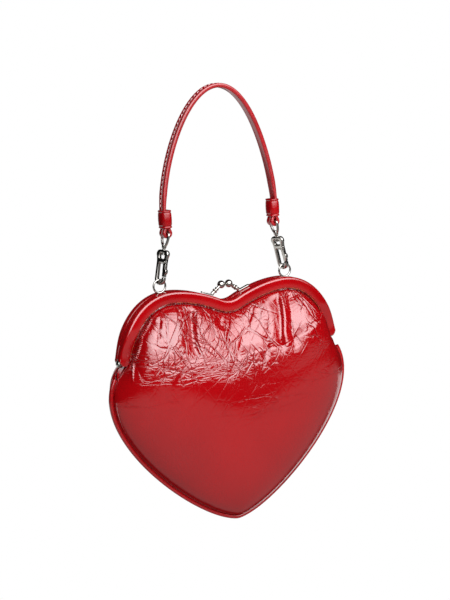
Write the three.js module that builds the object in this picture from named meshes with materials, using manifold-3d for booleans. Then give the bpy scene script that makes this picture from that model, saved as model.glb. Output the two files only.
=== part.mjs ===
// Heart-shaped kiss-lock frame handbag with a clip-on top handle.
// Millimetres, +Z up, front towards -Y. Heights are measured from the frame's hinge axis and depths from
// the bag's middle plane; the finished group is moved so that the origin is under the top of the handle.
import * as THREE from 'three';
import { mergeVertices } from 'three/addons/utils/BufferGeometryUtils.js';
import Module from 'manifold-3d';

const wasm = await Module();
wasm.setup();

const CURVE_STEPS = 5;        // facets of a rounded corner
const QUARTER_BOW = 0.5523;   // control length of a quarter circle drawn as a Bezier curve

// Outline of the frame's top
const LOBE_X = 49;            // crown of a lobe from the centre line
const LOBE_RISE = 50.4;       // crown of a lobe above the hinge axis
const DIP_RISE = 38.2;        // dip between the lobes above the hinge axis
const DIP_ROUND = 3.5;        // reach of the rounding in the dip
const DIP_SLOPE = 0.48;       // slope where the dip runs into a lobe
const DIP_PULL = 8;           // how far the dip's slope carries on
const LOBE_PULL_IN = 17;      // flatness of the crown towards the dip
const LOBE_PULL_OUT = 22;     // flatness of the crown towards the side
const FRAME_END_X = 95.3;     // frame's end from the centre line
const FRAME_END_RISE = 4;     // frame's end above the hinge axis
const FRAME_END_LEAN = 6.3;   // how far the end leans outwards over its pull
const FRAME_END_PULL = 30;    // how straight the frame's end runs
const FRAME_TAPER = 0.66;     // depth of the frame at its ends as a share of its full depth
const TAPER_RISE = 26;        // height above which the frame has its full depth

// Frame channel, its leather cover and what the channel grips
const FRAME_TALL = 8.6;       // height of the covered frame
const METAL = 1;              // channel wall
const COVER = 1.2;            // leather over the channel
const COVER_GAP = 0.3;        // clearance under the leather
const COVER_CROWN = 3.2;      // rounding of the cover's front top edge
const COVER_SHORT = 3;        // bare metal left at each end of the frame
const PARTING = 0.8;          // gap between the closed halves
const CORD = 1.1;             // paper packing cord
const LINING = 0.4;
const PANEL = 1.3;            // outer leather with its backing
const LAYER_GAP = 0.25;       // clearance between the layers in the channel
const TUCK = 2;               // clearance over the edges tucked into the channel

// Hinge
const LUG_RADIUS = 3.1;
const LUG_GAP = 0.3;          // between the two lugs of a hinge
const LUG_INSET = 3.1;        // inner lug's face from the frame's end
const LUG_NECK = 2.3;         // how far a lug runs up the channel
const LUG_TURN = 380;         // angle at which its rim meets its neck
const RIVET_RADIUS = 1.3;
const RIVET_HEAD = 2.7;
const RIVET_DOME = 1.7;
const RIVET_CLINCH = 0.4;     // spread of the rivet's inner end
const RUNNING_GAP = 0.2;      // clearance round pins and posts

// Pouch
const SIDE_X = 99.9;          // start of the side seam from the centre line
const SIDE_DROP = 10.6;       // start of the side seam below the hinge axis
const SIDE_PULL_OUT = 26.2;   // how far the side seam swells outwards
const SIDE_PULL_DOWN = 45.7;  // and how far down that swelling carries
const TIP_DROP = 137;         // heart's tip below the hinge axis
const TIP_PULL = 33.3;        // breadth of the rounded tip
const TIP_LIFT = 2.6;         // rise of the seam over that breadth
const CROWN = 27;             // swell of each panel
const SPREAD_POWER = 2.6;     // how full the swell stays towards the sides
const SPREAD_EDGE = 0.55;     // how steeply it ends at the sides
const SWELL_HEAD = 0.62;      // bluntness of the swell at the frame, less is fuller
const SWELL_FOOT = 0.55;      // and at the seam
const SIDE_BOW = 1;           // inward bow of the panel's free side edge
const CORNER_SHARE = 0.66;    // share of the frame's half that is a panel's top edge, before its side edge
const CORNER_CUT = 0.012;     // corner of the tucked edge that is cut off
const HINGE_SHARE = 0.62;     // share of a panel's side edge that lies in the frame
const EDGE_FADE = 6;          // how fast the edge beside it narrows below the frame
const PIPING = 3.5;           // piping diameter
const TONGUE = 1.2;           // piping's sewn tongue
const TONGUE_REACH = 6;
const MOUTH_GAP = 1.5;        // clearance between the frame's lower edge and the swelling panels
const SEAM_GAP = 0.3;         // clearance between piping, tongue and panels
const BEND_SAG = 21;          // how far the front panel's bend line hangs below the hinge axis
const BEND_END = 3;           // drop of the bend line beside each hinge
const BEND_LAP = 3;           // overlap of the front panel's two solids along that line
const BEND_RAMP = 9;          // length over which the upper solid dives under the lower
const BEND_GAP = 0.7;         // clearance in that overlap
const LINING_DROP = 9;        // start of the lower lining below the bend line
const LINING_EASE = 1.2;      // how much looser the lining hangs than the leather
const LINING_BLEND = 0.1;     // share of the run over which it comes away from the leather
const LINING_REACH = 0.95;    // share of the panel's breadth that the lining covers
const LINING_FOOT = 0.95;     // share of the panel's length that the lining reaches down

// Kiss-lock
const BALL_RADIUS = 3.1;
const BALL_GAP = 0.4;         // between the closed balls
const BALL_RISE = 50.2;       // ball centres above the hinge axis
const LOCK_X = 17.5;          // middle of a lock plate from the centre line
const LOCK_LENGTH = 11;
const LOCK_WIDTH = 3.2;
const LOCK_PLATE = 1.1;
const LOCK_INSET = 0.3;       // lock plate's edge from the parting
const STEM = 0.95;            // stem where it enters the ball
const STEM_REACH = 1.8;       // how deep the stem enters the ball
const SEAT_GAP = 0.3;         // clearance under pieces that sit on the frame

// Handle rings
const RING_X = 55.2;          // ring from the centre line
const RING_SETBACK = 2.2;     // ring behind the middle plane
const RING_RADIUS = 5;        // middle of the wire
const RING_WIRE = 0.85;       // wire radius

// Snap hooks, along the clasp's own axis from the ring's centre
const CLASP_TILT = THREE.MathUtils.degToRad(11.5);
const HOOK_REST = THREE.MathUtils.degToRad(-72);
const HOOK_SEAT = 0.5;        // slack under the ring's wire
const HOOK_LIMB = 2.7;
const HOOK_OPENING = 4.6;     // between the limbs
const HOOK_THICK = 3.2;
const HOOK_BEVEL = 0.8;
const HOOK_NOSE = 1.3;        // nose above the middle of the bow
const HOOK_REACH = 11.95;     // middle of the bow to the yoke
const HOOK_BRIDGE = 3.3;      // metal between the opening and the yoke's window
const SHOULDER_RADIUS = 3.3;
const SHOULDER_X = 2.9;
const WINDOW_TALL = 4.3;
const WINDOW_WIDE = 5.2;
const YOKE_WALL = 2.4;        // metal over the window
const GATE_GAP = 0.35;        // between gate and nose
const GATE_WIDE = 2.7;
const GATE_THICK = 2.6;
const GATE_TONGUE = 1.7;
const GATE_SLOT_GAP = 0.3;
const GATE_ROOM = 0.8;        // room behind the gate's eye for it to swing in
const KNUCKLE = 1.55;         // gate's eye
const GATE_PIN = 0.7;
const PIN_PROUD = 0.3;
const THUMB_PROUD = 1.1;
const THUMB_LENGTH = 4;
const SPRING = 0.3;           // leaf spring's thickness
const SPRING_WIDE = 1.5;
const SPRING_GAP = 0.3;

// Swivel eye
const EYE_WIRE = 1.05;        // wire radius
const EYE_NECK = 10;          // bar to the neck
const NECK_RADIUS = 1.9;
const NECK_GAP = 0.8;         // neck above the hook's shoulders
const POST = 1.2;
const POST_HEAD = 2;
const HEAD_TALL = 1.3;

// Strap and keepers
const HANDLE_TOP = 203.2;     // middle of the strap over the hinge axis
const STRAP_WIDE = 8.2;
const STRAP_THICK = 2.6;
const STRAP_ROUND = 0.8;
const STRAP_GAP = 0.3;        // clearance round the strap
const ARCH_SHOULDER = 27;     // flatness of the arch's top
const ARCH_LEAN = 6;          // how far the top of the arch leans to the front
const ARCH_FLARE = 1.95;      // outward lean at the keeper
const ARCH_LEG = 35.5;        // how straight the arch's legs run
const KEEPER_TALL = 13.5;
const KEEPER_WALL = 1.2;
const KEEPER_LIFT = 4;        // keeper above the eye's bar
const KEEPER_ROUND = 2;
const FOLD_SHORT = 1;         // folded end below the keeper's top

// Depths through the frame, from the middle plane outwards
const channelInner = PARTING / 2;
const cordMiddle = channelInner + METAL + LAYER_GAP + CORD / 2;
const liningOuter = channelInner + METAL + LAYER_GAP + CORD + LAYER_GAP + LINING;
const panelOuter = liningOuter + LAYER_GAP + PANEL;
const flangeInner = panelOuter + LAYER_GAP;
const channelOuter = flangeInner + METAL;
const coverOuter = channelOuter + COVER_GAP + COVER;

// Heights in the frame's section, below its top
const webTop = COVER + COVER_GAP;
const webBottom = webTop + METAL;
const flangeBottom = FRAME_TALL - COVER - COVER_GAP;
const mouth = FRAME_TALL + MOUTH_GAP;
const seamInset = PIPING + SEAM_GAP;
const seamOuter = TONGUE / 2 + SEAM_GAP + PANEL;

const redLeather = new THREE.MeshStandardMaterial({ color: 0xb00812, roughness: 0.22, metalness: 0 });
const strapLeather = new THREE.MeshStandardMaterial({ color: 0xa5101a, roughness: 0.35, metalness: 0 });
const silver = new THREE.MeshStandardMaterial({ color: 0xd2cfca, roughness: 0.12, metalness: 1 });
const liningCloth = new THREE.MeshStandardMaterial({ color: 0x4a0d12, roughness: 0.85, metalness: 0 });
const paper = new THREE.MeshStandardMaterial({ color: 0xb59a72, roughness: 0.95, metalness: 0 });

// Closed geometry from points and faces, turned so that its faces point out
function closedGeometry(points, faces) {
  const cross = new THREE.Vector3();
  let volume = 0;
  for (const [a, b, c] of faces) {
    volume += points[a].dot(cross.crossVectors(points[b], points[c]));
  }
  const outward = volume < 0 ? faces.map(([a, b, c]) => [a, c, b]) : faces;
  const geometry = new THREE.BufferGeometry();
  geometry.setAttribute('position', new THREE.Float32BufferAttribute(points.flatMap((p) => p.toArray()), 3));
  geometry.setIndex(outward.flat());
  return geometry;
}

// Solid through equal rings of points, capped at its ends or closed into a loop
function loft(rings, section, looped = false) {
  const size = rings[0].length;
  const faces = [];
  const spans = looped ? rings.length : rings.length - 1;
  for (let ring = 0; ring < spans; ring += 1) {
    const next = (ring + 1) % rings.length;
    for (let corner = 0; corner < size; corner += 1) {
      const other = (corner + 1) % size;
      faces.push([ring * size + corner, ring * size + other, next * size + other]);
      faces.push([ring * size + corner, next * size + other, next * size + corner]);
    }
  }
  if (!looped) {
    const last = spans * size;
    for (const [a, b, c] of THREE.ShapeUtils.triangulateShape(section, [])) {
      faces.push([c, b, a], [last + a, last + b, last + c]);
    }
  }
  return closedGeometry(rings.flat(), faces);
}

// Points along a flat curve in X and Z, each with the normal on the left of the way it runs
function stations(curve, count, from = 0, to = 1) {
  return Array.from({ length: count + 1 }, (_, index) => {
    const share = THREE.MathUtils.lerp(from, to, index / count);
    const point = curve.getPointAt(share);
    const tangent = curve.getTangentAt(share);
    return { point, normal: new THREE.Vector2(-tangent.y, tangent.x) };
  });
}

// Section of depth (x) and height (y) carried along stations; side turns depth to the front or the back
function band(places, section, side = 1, looped = false) {
  const outline = THREE.ShapeUtils.isClockWise(section) ? section.slice().reverse() : section;
  const rings = places.map(({ point, normal }) => outline.map((corner) => new THREE.Vector3(
    point.x + normal.x * corner.y,
    side * corner.x,
    point.y + normal.y * corner.y,
  )));
  return loft(rings, outline, looped);
}

// Shell from a grid of [outer, inner] points
function shell(grid) {
  const rows = grid[0].length;
  const columns = grid.length;
  const outer = (column, row) => (column * rows + row) * 2;
  const inner = (column, row) => outer(column, row) + 1;
  const faces = [];
  const quad = (a, b, c, d) => faces.push([a, b, c], [a, c, d]);
  for (let c = 0; c < columns - 1; c += 1) {
    for (let r = 0; r < rows - 1; r += 1) {
      quad(outer(c, r), outer(c + 1, r), outer(c + 1, r + 1), outer(c, r + 1));
      quad(inner(c, r), inner(c, r + 1), inner(c + 1, r + 1), inner(c + 1, r));
    }
    const foot = rows - 1;
    quad(outer(c + 1, 0), outer(c, 0), inner(c, 0), inner(c + 1, 0));
    quad(outer(c, foot), outer(c + 1, foot), inner(c + 1, foot), inner(c, foot));
  }
  for (let r = 0; r < rows - 1; r += 1) {
    const end = columns - 1;
    quad(outer(0, r), outer(0, r + 1), inner(0, r + 1), inner(0, r));
    quad(outer(end, r + 1), outer(end, r), inner(end, r), inner(end, r + 1));
  }
  return closedGeometry(grid.flat(2), faces);
}

function circle(radius, sides) {
  return Array.from({ length: sides }, (_, index) => {
    const angle = (index + 0.5) / sides * 2 * Math.PI;
    return new THREE.Vector2(radius * Math.cos(angle), radius * Math.sin(angle));
  });
}

function points2d(list) {
  return list.map(([x, y]) => new THREE.Vector2(x, y));
}

// Closed outline without doubled points
function distinct(points) {
  return points.filter((point, index) => point.distanceTo(points.at(index - 1)) > 0.01);
}

// Turn from one angle to another, in degrees, about a centre
function arcPoints(x, y, radius, from, to, steps) {
  return Array.from({ length: steps + 1 }, (_, index) => {
    const angle = THREE.MathUtils.degToRad(THREE.MathUtils.lerp(from, to, index / steps));
    return new THREE.Vector2(x + radius * Math.cos(angle), y + radius * Math.sin(angle));
  });
}

function bezier(points) {
  if (points.length === 3) {
    return new THREE.QuadraticBezierCurve(...points);
  }
  return new THREE.CubicBezierCurve(...points);
}

// Curve over both halves of the bag from the right half's pieces, which start on the centre line
function mirroredCurve(right) {
  const mirror = (point) => new THREE.Vector2(-point.x, point.y);
  const left = right.map((points) => points.map(mirror).reverse()).reverse();
  const curve = new THREE.CurvePath();
  for (const points of [...left, ...right]) {
    curve.add(bezier(points));
  }
  return curve;
}

function welded(geometry) {
  const bare = geometry.clone();
  bare.deleteAttribute('normal');
  bare.deleteAttribute('uv');
  return mergeVertices(bare, 1e-4);
}

function toSolid(geometry) {
  const mesh = welded(geometry);
  const vertProperties = new Float32Array(mesh.attributes.position.array);
  const triVerts = new Uint32Array(mesh.index.array);
  return new wasm.Manifold(new wasm.Mesh({ numProp: 3, vertProperties, triVerts }));
}

function fromSolid(solid) {
  const mesh = solid.getMesh();
  const geometry = new THREE.BufferGeometry();
  geometry.setAttribute('position', new THREE.Float32BufferAttribute(mesh.vertProperties, 3));
  geometry.setIndex(Array.from(mesh.triVerts));
  return geometry;
}

function joined(...geometries) {
  return fromSolid(geometries.map(toSolid).reduce((whole, piece) => whole.add(piece)));
}

function cut(geometry, ...tools) {
  return fromSolid(tools.map(toSolid).reduce((whole, tool) => whole.subtract(tool), toSolid(geometry)));
}

function block(low, high) {
  const size = high.map((value, axis) => value - low[axis]);
  const geometry = new THREE.BoxGeometry(...size);
  geometry.translate(...low.map((value, axis) => value + size[axis] / 2));
  return geometry;
}

// Bevelled plate of an outline drawn in X and Z, centred on Y
function plate(shape, thickness, bevel) {
  const geometry = slab(shape, thickness, bevel);
  geometry.translate(0, 0, -thickness / 2);
  geometry.rotateX(Math.PI / 2);
  return geometry;
}

// Bevelled slab of an outline drawn in X and Y, standing on Z = 0
function slab(shape, thickness, bevel) {
  const outline = new THREE.Shape(distinct(shape.getPoints(CURVE_STEPS)));
  outline.holes = shape.holes.map((hole) => new THREE.Path(distinct(hole.getPoints(CURVE_STEPS))));
  const geometry = new THREE.ExtrudeGeometry(outline, {
    depth: thickness - 2 * bevel,
    bevelEnabled: bevel > 0,
    bevelSize: bevel,
    bevelThickness: bevel,
    bevelOffset: -bevel,
    bevelSegments: 1,
  });
  geometry.translate(0, 0, bevel);
  return geometry;
}

// Turned piece along +Y from [radius, height] pairs that start and end on the axis
function turned(profile, sides = 14) {
  return new THREE.LatheGeometry(points2d(profile), sides);
}

function roundedRectangle(width, height, radius) {
  const x = width / 2 - radius;
  const y = height / 2 - radius;
  const shape = new THREE.Shape();
  shape.absarc(x, y, radius, 0, Math.PI / 2);
  shape.absarc(-x, y, radius, Math.PI / 2, Math.PI);
  shape.absarc(-x, -y, radius, Math.PI, 1.5 * Math.PI);
  shape.absarc(x, -y, radius, 1.5 * Math.PI, 2 * Math.PI);
  shape.closePath();
  return shape;
}

// Top line of the frame, from the left end over both lobes to the right end
function makeFrameCurve() {
  const at = (x, z) => new THREE.Vector2(x, z);
  const dip = at(0, DIP_RISE);
  const bend = at(2 * DIP_ROUND, DIP_RISE + DIP_SLOPE * DIP_ROUND);
  const crown = at(LOBE_X, LOBE_RISE);
  const end = at(FRAME_END_X, FRAME_END_RISE);
  return mirroredCurve([
    [dip, at(DIP_ROUND, DIP_RISE), bend],
    [bend, at(bend.x + DIP_PULL, bend.y + DIP_SLOPE * DIP_PULL), at(LOBE_X - LOBE_PULL_IN, LOBE_RISE), crown],
    [crown, at(LOBE_X + LOBE_PULL_OUT, LOBE_RISE), at(end.x - FRAME_END_LEAN, end.y + FRAME_END_PULL), end],
  ]);
}

// Outer line of the seam, from the left side round the tip to the right side
function makeSeamCurve() {
  const at = (x, z) => new THREE.Vector2(x, z);
  const side = at(SIDE_X, -SIDE_DROP);
  const swell = at(SIDE_X + SIDE_PULL_OUT, -SIDE_DROP - SIDE_PULL_DOWN);
  return mirroredCurve([[at(0, -TIP_DROP), at(TIP_PULL, TIP_LIFT - TIP_DROP), swell, side]]);
}

const frameCurve = makeFrameCurve();
const seamCurve = makeSeamCurve();
const coverTrim = COVER_SHORT / frameCurve.getLength();

// Station of the frame's top line at a distance from the centre line
function frameStation(x) {
  let low = 0.5;
  let high = 1;
  for (let pass = 0; pass < 40; pass += 1) {
    const middle = (low + high) / 2;
    if (frameCurve.getPointAt(middle).x < Math.abs(x)) {
      low = middle;
    } else {
      high = middle;
    }
  }
  return stations(frameCurve, 1, low, low)[0];
}

// Share of the frame's full depth that is left at a height
function narrow(height) {
  const { lerp, smoothstep } = THREE.MathUtils;
  return lerp(FRAME_TAPER, 1, smoothstep(height, FRAME_END_RISE, TAPER_RISE));
}

// Piece of the frame drawn in towards its ends
function narrowed(geometry) {
  const places = geometry.attributes.position;
  for (let place = 0; place < places.count; place += 1) {
    places.setY(place, places.getY(place) * narrow(places.getZ(place)));
  }
  return geometry;
}

function offsetPoint(curve, share, distance) {
  const [{ point, normal }] = stations(curve, 1, share, share);
  return point.clone().addScaledVector(normal, distance);
}

// Frame
function channelSection() {
  const round = COVER_CROWN - webTop;
  return [
    ...points2d([[channelInner + METAL, -flangeBottom], [channelInner, -flangeBottom]]),
    ...points2d([[channelInner, -webTop]]),
    ...arcPoints(channelOuter - round, -webTop - round, round, 90, 0, 2),
    ...points2d([[channelOuter, -flangeBottom], [flangeInner, -flangeBottom]]),
    ...points2d([[flangeInner, -webBottom], [channelInner + METAL, -webBottom]]),
  ];
}

function coverSection() {
  const inner = COVER_CROWN - COVER;
  const lipTop = flangeBottom + COVER_GAP;
  return [
    ...points2d([[channelInner, -COVER], [channelInner, 0]]),
    ...arcPoints(coverOuter - COVER_CROWN, -COVER_CROWN, COVER_CROWN, 90, 0, 3),
    ...arcPoints(coverOuter - COVER, -FRAME_TALL + COVER, COVER, 0, -90, 2),
    ...points2d([[flangeInner, -FRAME_TALL], [flangeInner, -lipTop], [coverOuter - COVER, -lipTop]]),
    ...arcPoints(coverOuter - COVER_CROWN, -COVER_CROWN, inner, 0, 90, 3),
  ];
}

// Flat hinge lug in the plane across X, with a neck up into its own half of the frame
function lug(side, x) {
  const top = FRAME_END_RISE + LUG_NECK;
  const neck = FRAME_TAPER * flangeInner;
  const lowest = THREE.MathUtils.radToDeg(Math.acos(channelInner / LUG_RADIUS));
  const rim = arcPoints(0, 0, LUG_RADIUS, lowest, LUG_TURN, 10);
  const outline = [...points2d([[neck, FRAME_END_RISE], [neck, top], [channelInner, top]]), ...rim];
  const shape = new THREE.Shape(outline.map((corner) => new THREE.Vector2(side * corner.x, corner.y)));
  const geometry = plate(shape, METAL, 0);
  geometry.rotateZ(Math.PI / 2);
  geometry.translate(x + METAL / 2, 0, 0);
  return geometry;
}

const lugInner = FRAME_END_X - LUG_INSET;
const lugOuter = lugInner + METAL + LUG_GAP;

function pinHole(radius) {
  const hole = new THREE.CylinderGeometry(radius, radius, 4 * LUG_INSET, 14);
  hole.rotateZ(Math.PI / 2);
  return hole;
}

function mirroredX(geometry) {
  const copy = geometry.clone();
  copy.rotateZ(Math.PI);
  copy.scale(1, -1, 1);
  const index = copy.index ? Array.from(copy.index.array) : null;
  const flipped = index ?? Array.from({ length: copy.attributes.position.count }, (_, place) => place);
  for (let face = 0; face < flipped.length; face += 3) {
    [flipped[face + 1], flipped[face + 2]] = [flipped[face + 2], flipped[face + 1]];
  }
  copy.setIndex(flipped);
  return copy;
}

// Channel of one half, with a lug at each end; the back half's lugs lie outside the front half's
function frameChannel(side) {
  const rail = narrowed(band(stations(frameCurve, 32), channelSection(), side));
  const lugX = side < 0 ? lugInner : lugOuter;
  const depth = FRAME_TAPER * flangeInner;
  const low = Math.min(side * channelInner, side * depth);
  const high = Math.max(side * channelInner, side * depth);
  const root = block(
    [lugInner, low, FRAME_END_RISE + SEAT_GAP],
    [lugX + METAL, high, FRAME_END_RISE + COVER_SHORT - 2 * SEAT_GAP],
  );
  const hole = pinHole(RIVET_RADIUS + RUNNING_GAP);
  hole.translate(lugX, 0, 0);
  const ear = cut(joined(lug(side, lugX), root), hole);
  return joined(rail, ear, mirroredX(ear));
}

// Notch in the back cover where a ring reaches down to the metal
function ringNotch(x) {
  const reach = RING_RADIUS + RING_WIRE - COVER;
  const [low, high] = [x - reach, x + reach];
  const deep = RING_SETBACK + RING_WIRE + COVER_GAP;
  const top = frameStation(x).point.y;
  return block([low, -PARTING, top - COVER - COVER_GAP], [high, deep, top + COVER]);
}

function frameCover(side) {
  const places = stations(frameCurve, 32, coverTrim, 1 - coverTrim);
  const cover = narrowed(band(places, coverSection(), side));
  return side < 0 ? cover : cut(cover, ringNotch(RING_X), ringNotch(-RING_X));
}

function packingCord(side) {
  const height = -(webBottom + flangeBottom) / 2;
  const section = circle(CORD / 2, 6).map((corner) => corner.add(new THREE.Vector2(cordMiddle, height)));
  return narrowed(band(stations(frameCurve, 32, coverTrim, 1 - coverTrim), section, side));
}

// Hinge rivet along X with a clinched inner end and a domed outer head
function hingeRivet(hand) {
  const inner = lugInner - SEAT_GAP;
  const outer = lugOuter + METAL + SEAT_GAP;
  const quarter = arcPoints(0, 0, 1, 0, 90, 4);
  const dome = quarter.map((corner) => [corner.x * RIVET_HEAD, outer + corner.y * RIVET_DOME]);
  dome[dome.length - 1][0] = 0;
  const clinch = RIVET_RADIUS + RIVET_CLINCH;
  const rivet = turned([
    [0, inner - RIVET_CLINCH], [clinch, inner - RIVET_CLINCH], [clinch, inner],
    [RIVET_RADIUS, inner], [RIVET_RADIUS, outer], ...dome,
  ]);
  rivet.rotateZ(-Math.PI / 2);
  return hand > 0 ? rivet : rivet.rotateZ(Math.PI);
}

// Pouch surface: u runs from the left side to the right, v from the frame down to the seam
function spread(u) {
  return Math.max(0, 1 - Math.abs(u) ** SPREAD_POWER) ** SPREAD_EDGE;
}

// Point inside or outside the frame's top line; share runs from -1 at its left covered end to 1 at its right
function rimPoint(share, distance) {
  return offsetPoint(frameCurve, 0.5 + share * (0.5 - coverTrim), distance);
}

function seamPoint(u) {
  return offsetPoint(seamCurve, 0.5 + u / 2, seamInset);
}

const cornerPoint = rimPoint(CORNER_SHARE, -mouth);
const sidePoint = seamPoint(1);

// Right edge of a panel: down the frame's mouth to its end, then free to the start of the seam
function sideEdge(v) {
  if (v <= HINGE_SHARE) {
    return rimPoint(THREE.MathUtils.lerp(CORNER_SHARE, 1, v / HINGE_SHARE), -mouth);
  }
  const end = rimPoint(1, -mouth);
  const control = end.clone().lerp(sidePoint, 0.5).add(new THREE.Vector2(-SIDE_BOW, 0));
  return bezier([end, control, sidePoint]).getPoint((v - HINGE_SHARE) / (1 - HINGE_SHARE));
}

// Depth of a panel's outer face along its side edge
function edgeDepth(v) {
  const { lerp, smoothstep } = THREE.MathUtils;
  return lerp(panelOuter * narrow(sideEdge(v).y), seamOuter, smoothstep(v, HINGE_SHARE, 1));
}

// Outline patch between the mouth, the seam and the two side edges
function planPoint(u, v) {
  const { lerp } = THREE.MathUtils;
  const rim = rimPoint(u * CORNER_SHARE, -mouth);
  const seam = seamPoint(u);
  const side = sideEdge(v);
  return new THREE.Vector2(
    lerp(rim.x, seam.x, v) + u * (side.x - lerp(cornerPoint.x, sidePoint.x, v)),
    lerp(rim.y, seam.y, v) + side.y - lerp(cornerPoint.y, sidePoint.y, v),
  );
}

function pouchPoint(u, v) {
  const plan = planPoint(u, v);
  const arch = Math.max(0, Math.sin(Math.PI * v));
  const swell = spread(u) * arch ** THREE.MathUtils.lerp(SWELL_HEAD, SWELL_FOOT, v);
  return new THREE.Vector3(plan.x, edgeDepth(v) + CROWN * swell, plan.y);
}

// Point a distance inside the pouch surface; along its edges the layers lie flat
function skinPoint(u, v, inset) {
  const step = 0.002;
  const point = pouchPoint(u, v);
  if (v <= 0 || v >= 1 || Math.abs(u) >= 1) {
    return point.add(new THREE.Vector3(0, -inset, 0));
  }
  const across = pouchPoint(Math.min(u + step, 1), v).sub(pouchPoint(Math.max(u - step, -1), v));
  const down = pouchPoint(u, Math.min(v + step, 1)).sub(pouchPoint(u, Math.max(v - step, 0)));
  return point.addScaledVector(across.cross(down).normalize(), -inset);
}

// Straight length of the panel from its top edge to the seam at u
function runLength(u) {
  return planPoint(u, 0).distanceTo(planPoint(u, 1));
}

// Share of the run at which the front panel bends when the frame opens
function bendShare(u) {
  const height = -THREE.MathUtils.lerp(BEND_END, BEND_SAG, spread(u));
  let [low, high] = [0, 1];
  for (let pass = 0; pass < 24; pass += 1) {
    const middle = (low + high) / 2;
    if (planPoint(u, middle).y > height) {
      low = middle;
    } else {
      high = middle;
    }
  }
  return low;
}

function columnPlaces(count, reach) {
  return Array.from({ length: count + 1 }, (_, index) => reach * Math.sin((index / count - 0.5) * Math.PI));
}

// Edge of a panel inside the frame's channel, beside its right edge; below the frame it narrows to nothing
function tuckedSide(v) {
  const share = THREE.MathUtils.lerp(CORNER_SHARE, 1, v / HINGE_SHARE);
  if (share <= 1) {
    return rimPoint(Math.max(share, CORNER_SHARE + CORNER_CUT), -webBottom - TUCK);
  }
  const free = (1 - v) / (1 - HINGE_SHARE);
  return sideEdge(v).add(new THREE.Vector2((mouth - webBottom - TUCK) * free ** EDGE_FADE + SEAM_GAP / 2, 0));
}

// Layer of the pouch between two insets; the rows run from one share of the run to another
function pouchLayer(side, { columns, rows, from, to, outer, inner, tucked, reach = 1 }) {
  const turn = (point) => new THREE.Vector3(point.x, side * point.y, point.z);
  const flat = (place, u, v, base) => [outer, inner].map(
    (inset) => new THREE.Vector3(place.x, side * (base - inset(u, v)), place.y),
  );
  const rowShare = (u, row) => THREE.MathUtils.lerp(from(u), to(u), (1 - Math.cos(Math.PI * row / rows)) / 2);
  const rowNumbers = Array.from({ length: rows + 1 }, (_, row) => row);
  const deep = -webBottom - TUCK;
  const grid = columnPlaces(columns, reach).map((u) => {
    const column = rowNumbers.map((row) => {
      const v = rowShare(u, row);
      return [outer, inner].map((inset) => turn(skinPoint(u, v, inset(u, v))));
    });
    if (tucked) {
      const share = Math.sign(u) * Math.min(Math.abs(u) * CORNER_SHARE, CORNER_SHARE - CORNER_CUT);
      const place = rimPoint(share, deep);
      column.unshift(flat(place, u, 0, panelOuter * narrow(place.y)));
    }
    return column;
  });
  if (tucked && reach === 1) {
    for (const hand of [-1, 1]) {
      const border = rowNumbers.map((row) => {
        const v = rowShare(hand, row);
        const place = tuckedSide(v);
        place.x *= hand;
        const depth = v <= HINGE_SHARE ? panelOuter * narrow(place.y) : edgeDepth(v);
        return flat(place, hand, v, depth);
      });
      border.unshift(flat(rimPoint(hand * CORNER_SHARE, deep + CORNER_CUT), hand, 0, panelOuter));
      grid[hand < 0 ? 'unshift' : 'push'](border);
    }
  }
  return shell(grid);
}

const top = () => 0;
const foot = () => 1;
const liningFoot = () => LINING_FOOT;
const surface = () => 0;
const leatherBack = () => PANEL;
// The lining hangs loose between the frame and the seam, where it lies against the leather
function liningFace(u, v) {
  const { lerp, smoothstep } = THREE.MathUtils;
  const ease = lerp(SEAM_GAP, LINING_EASE, smoothstep(LINING_FOOT - v, 0, LINING_BLEND));
  return PANEL + LAYER_GAP + ease * smoothstep(v, 0, LINING_BLEND);
}
const liningBack = (u, v) => liningFace(u, v) + LINING;

// How far the upper front solid dives under the lower one near the bend line
function dive(u, v) {
  const start = Math.max(0, bendShare(u) - BEND_RAMP / runLength(u));
  return (PANEL + BEND_GAP) * THREE.MathUtils.smoothstep(v, start, bendShare(u));
}

// The upper lining draws in sooner than the leather that it hangs behind
function liningDive(u, v) {
  return (PANEL + BEND_GAP) * THREE.MathUtils.smoothstep(v, 0, bendShare(u) / 2);
}

// The overlap fades out and leaves a slit beside each hinge
const lapFoot = (u) => bendShare(u) + BEND_LAP * (2 * spread(u) - 1) / runLength(u);
const lowerLiningTop = (u) => bendShare(u) + LINING_DROP / runLength(u);
const under = (inset, drawn) => (u, v) => inset(u, v) + drawn(u, v);

const backPanel = () => pouchLayer(1, {
  columns: 24, rows: 10, from: top, to: foot, outer: surface, inner: leatherBack, tucked: true,
});
const backLining = () => pouchLayer(1, {
  columns: 20, rows: 9, from: top, to: liningFoot, outer: liningFace, inner: liningBack, tucked: true,
  reach: LINING_REACH,
});
const frontPanelUpper = () => pouchLayer(-1, {
  columns: 24, rows: 6, from: top, to: lapFoot, outer: under(surface, dive), inner: under(leatherBack, dive),
  tucked: true,
});
const frontPanelLower = () => pouchLayer(-1, {
  columns: 24, rows: 8, from: bendShare, to: foot, outer: surface, inner: leatherBack, tucked: false,
});
const frontLiningUpper = () => pouchLayer(-1, {
  columns: 20, rows: 4, from: top, to: bendShare, outer: under(liningFace, liningDive),
  inner: under(liningBack, liningDive), tucked: true, reach: LINING_REACH,
});
const frontLiningLower = () => pouchLayer(-1, {
  columns: 20, rows: 5, from: lowerLiningTop, to: liningFoot, outer: liningFace, inner: liningBack,
  tucked: false, reach: LINING_REACH,
});

// Round piping with the flat tongue that is sewn between the panels
function piping() {
  const radius = PIPING / 2;
  const gap = THREE.MathUtils.radToDeg(Math.asin(TONGUE / PIPING));
  const round = arcPoints(0, radius, radius, 90 + gap, 450 - gap, 8);
  const tongue = points2d([[TONGUE / 2, PIPING + TONGUE_REACH], [-TONGUE / 2, PIPING + TONGUE_REACH]]);
  return band(stations(seamCurve, 36), [...round, ...tongue]);
}

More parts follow.
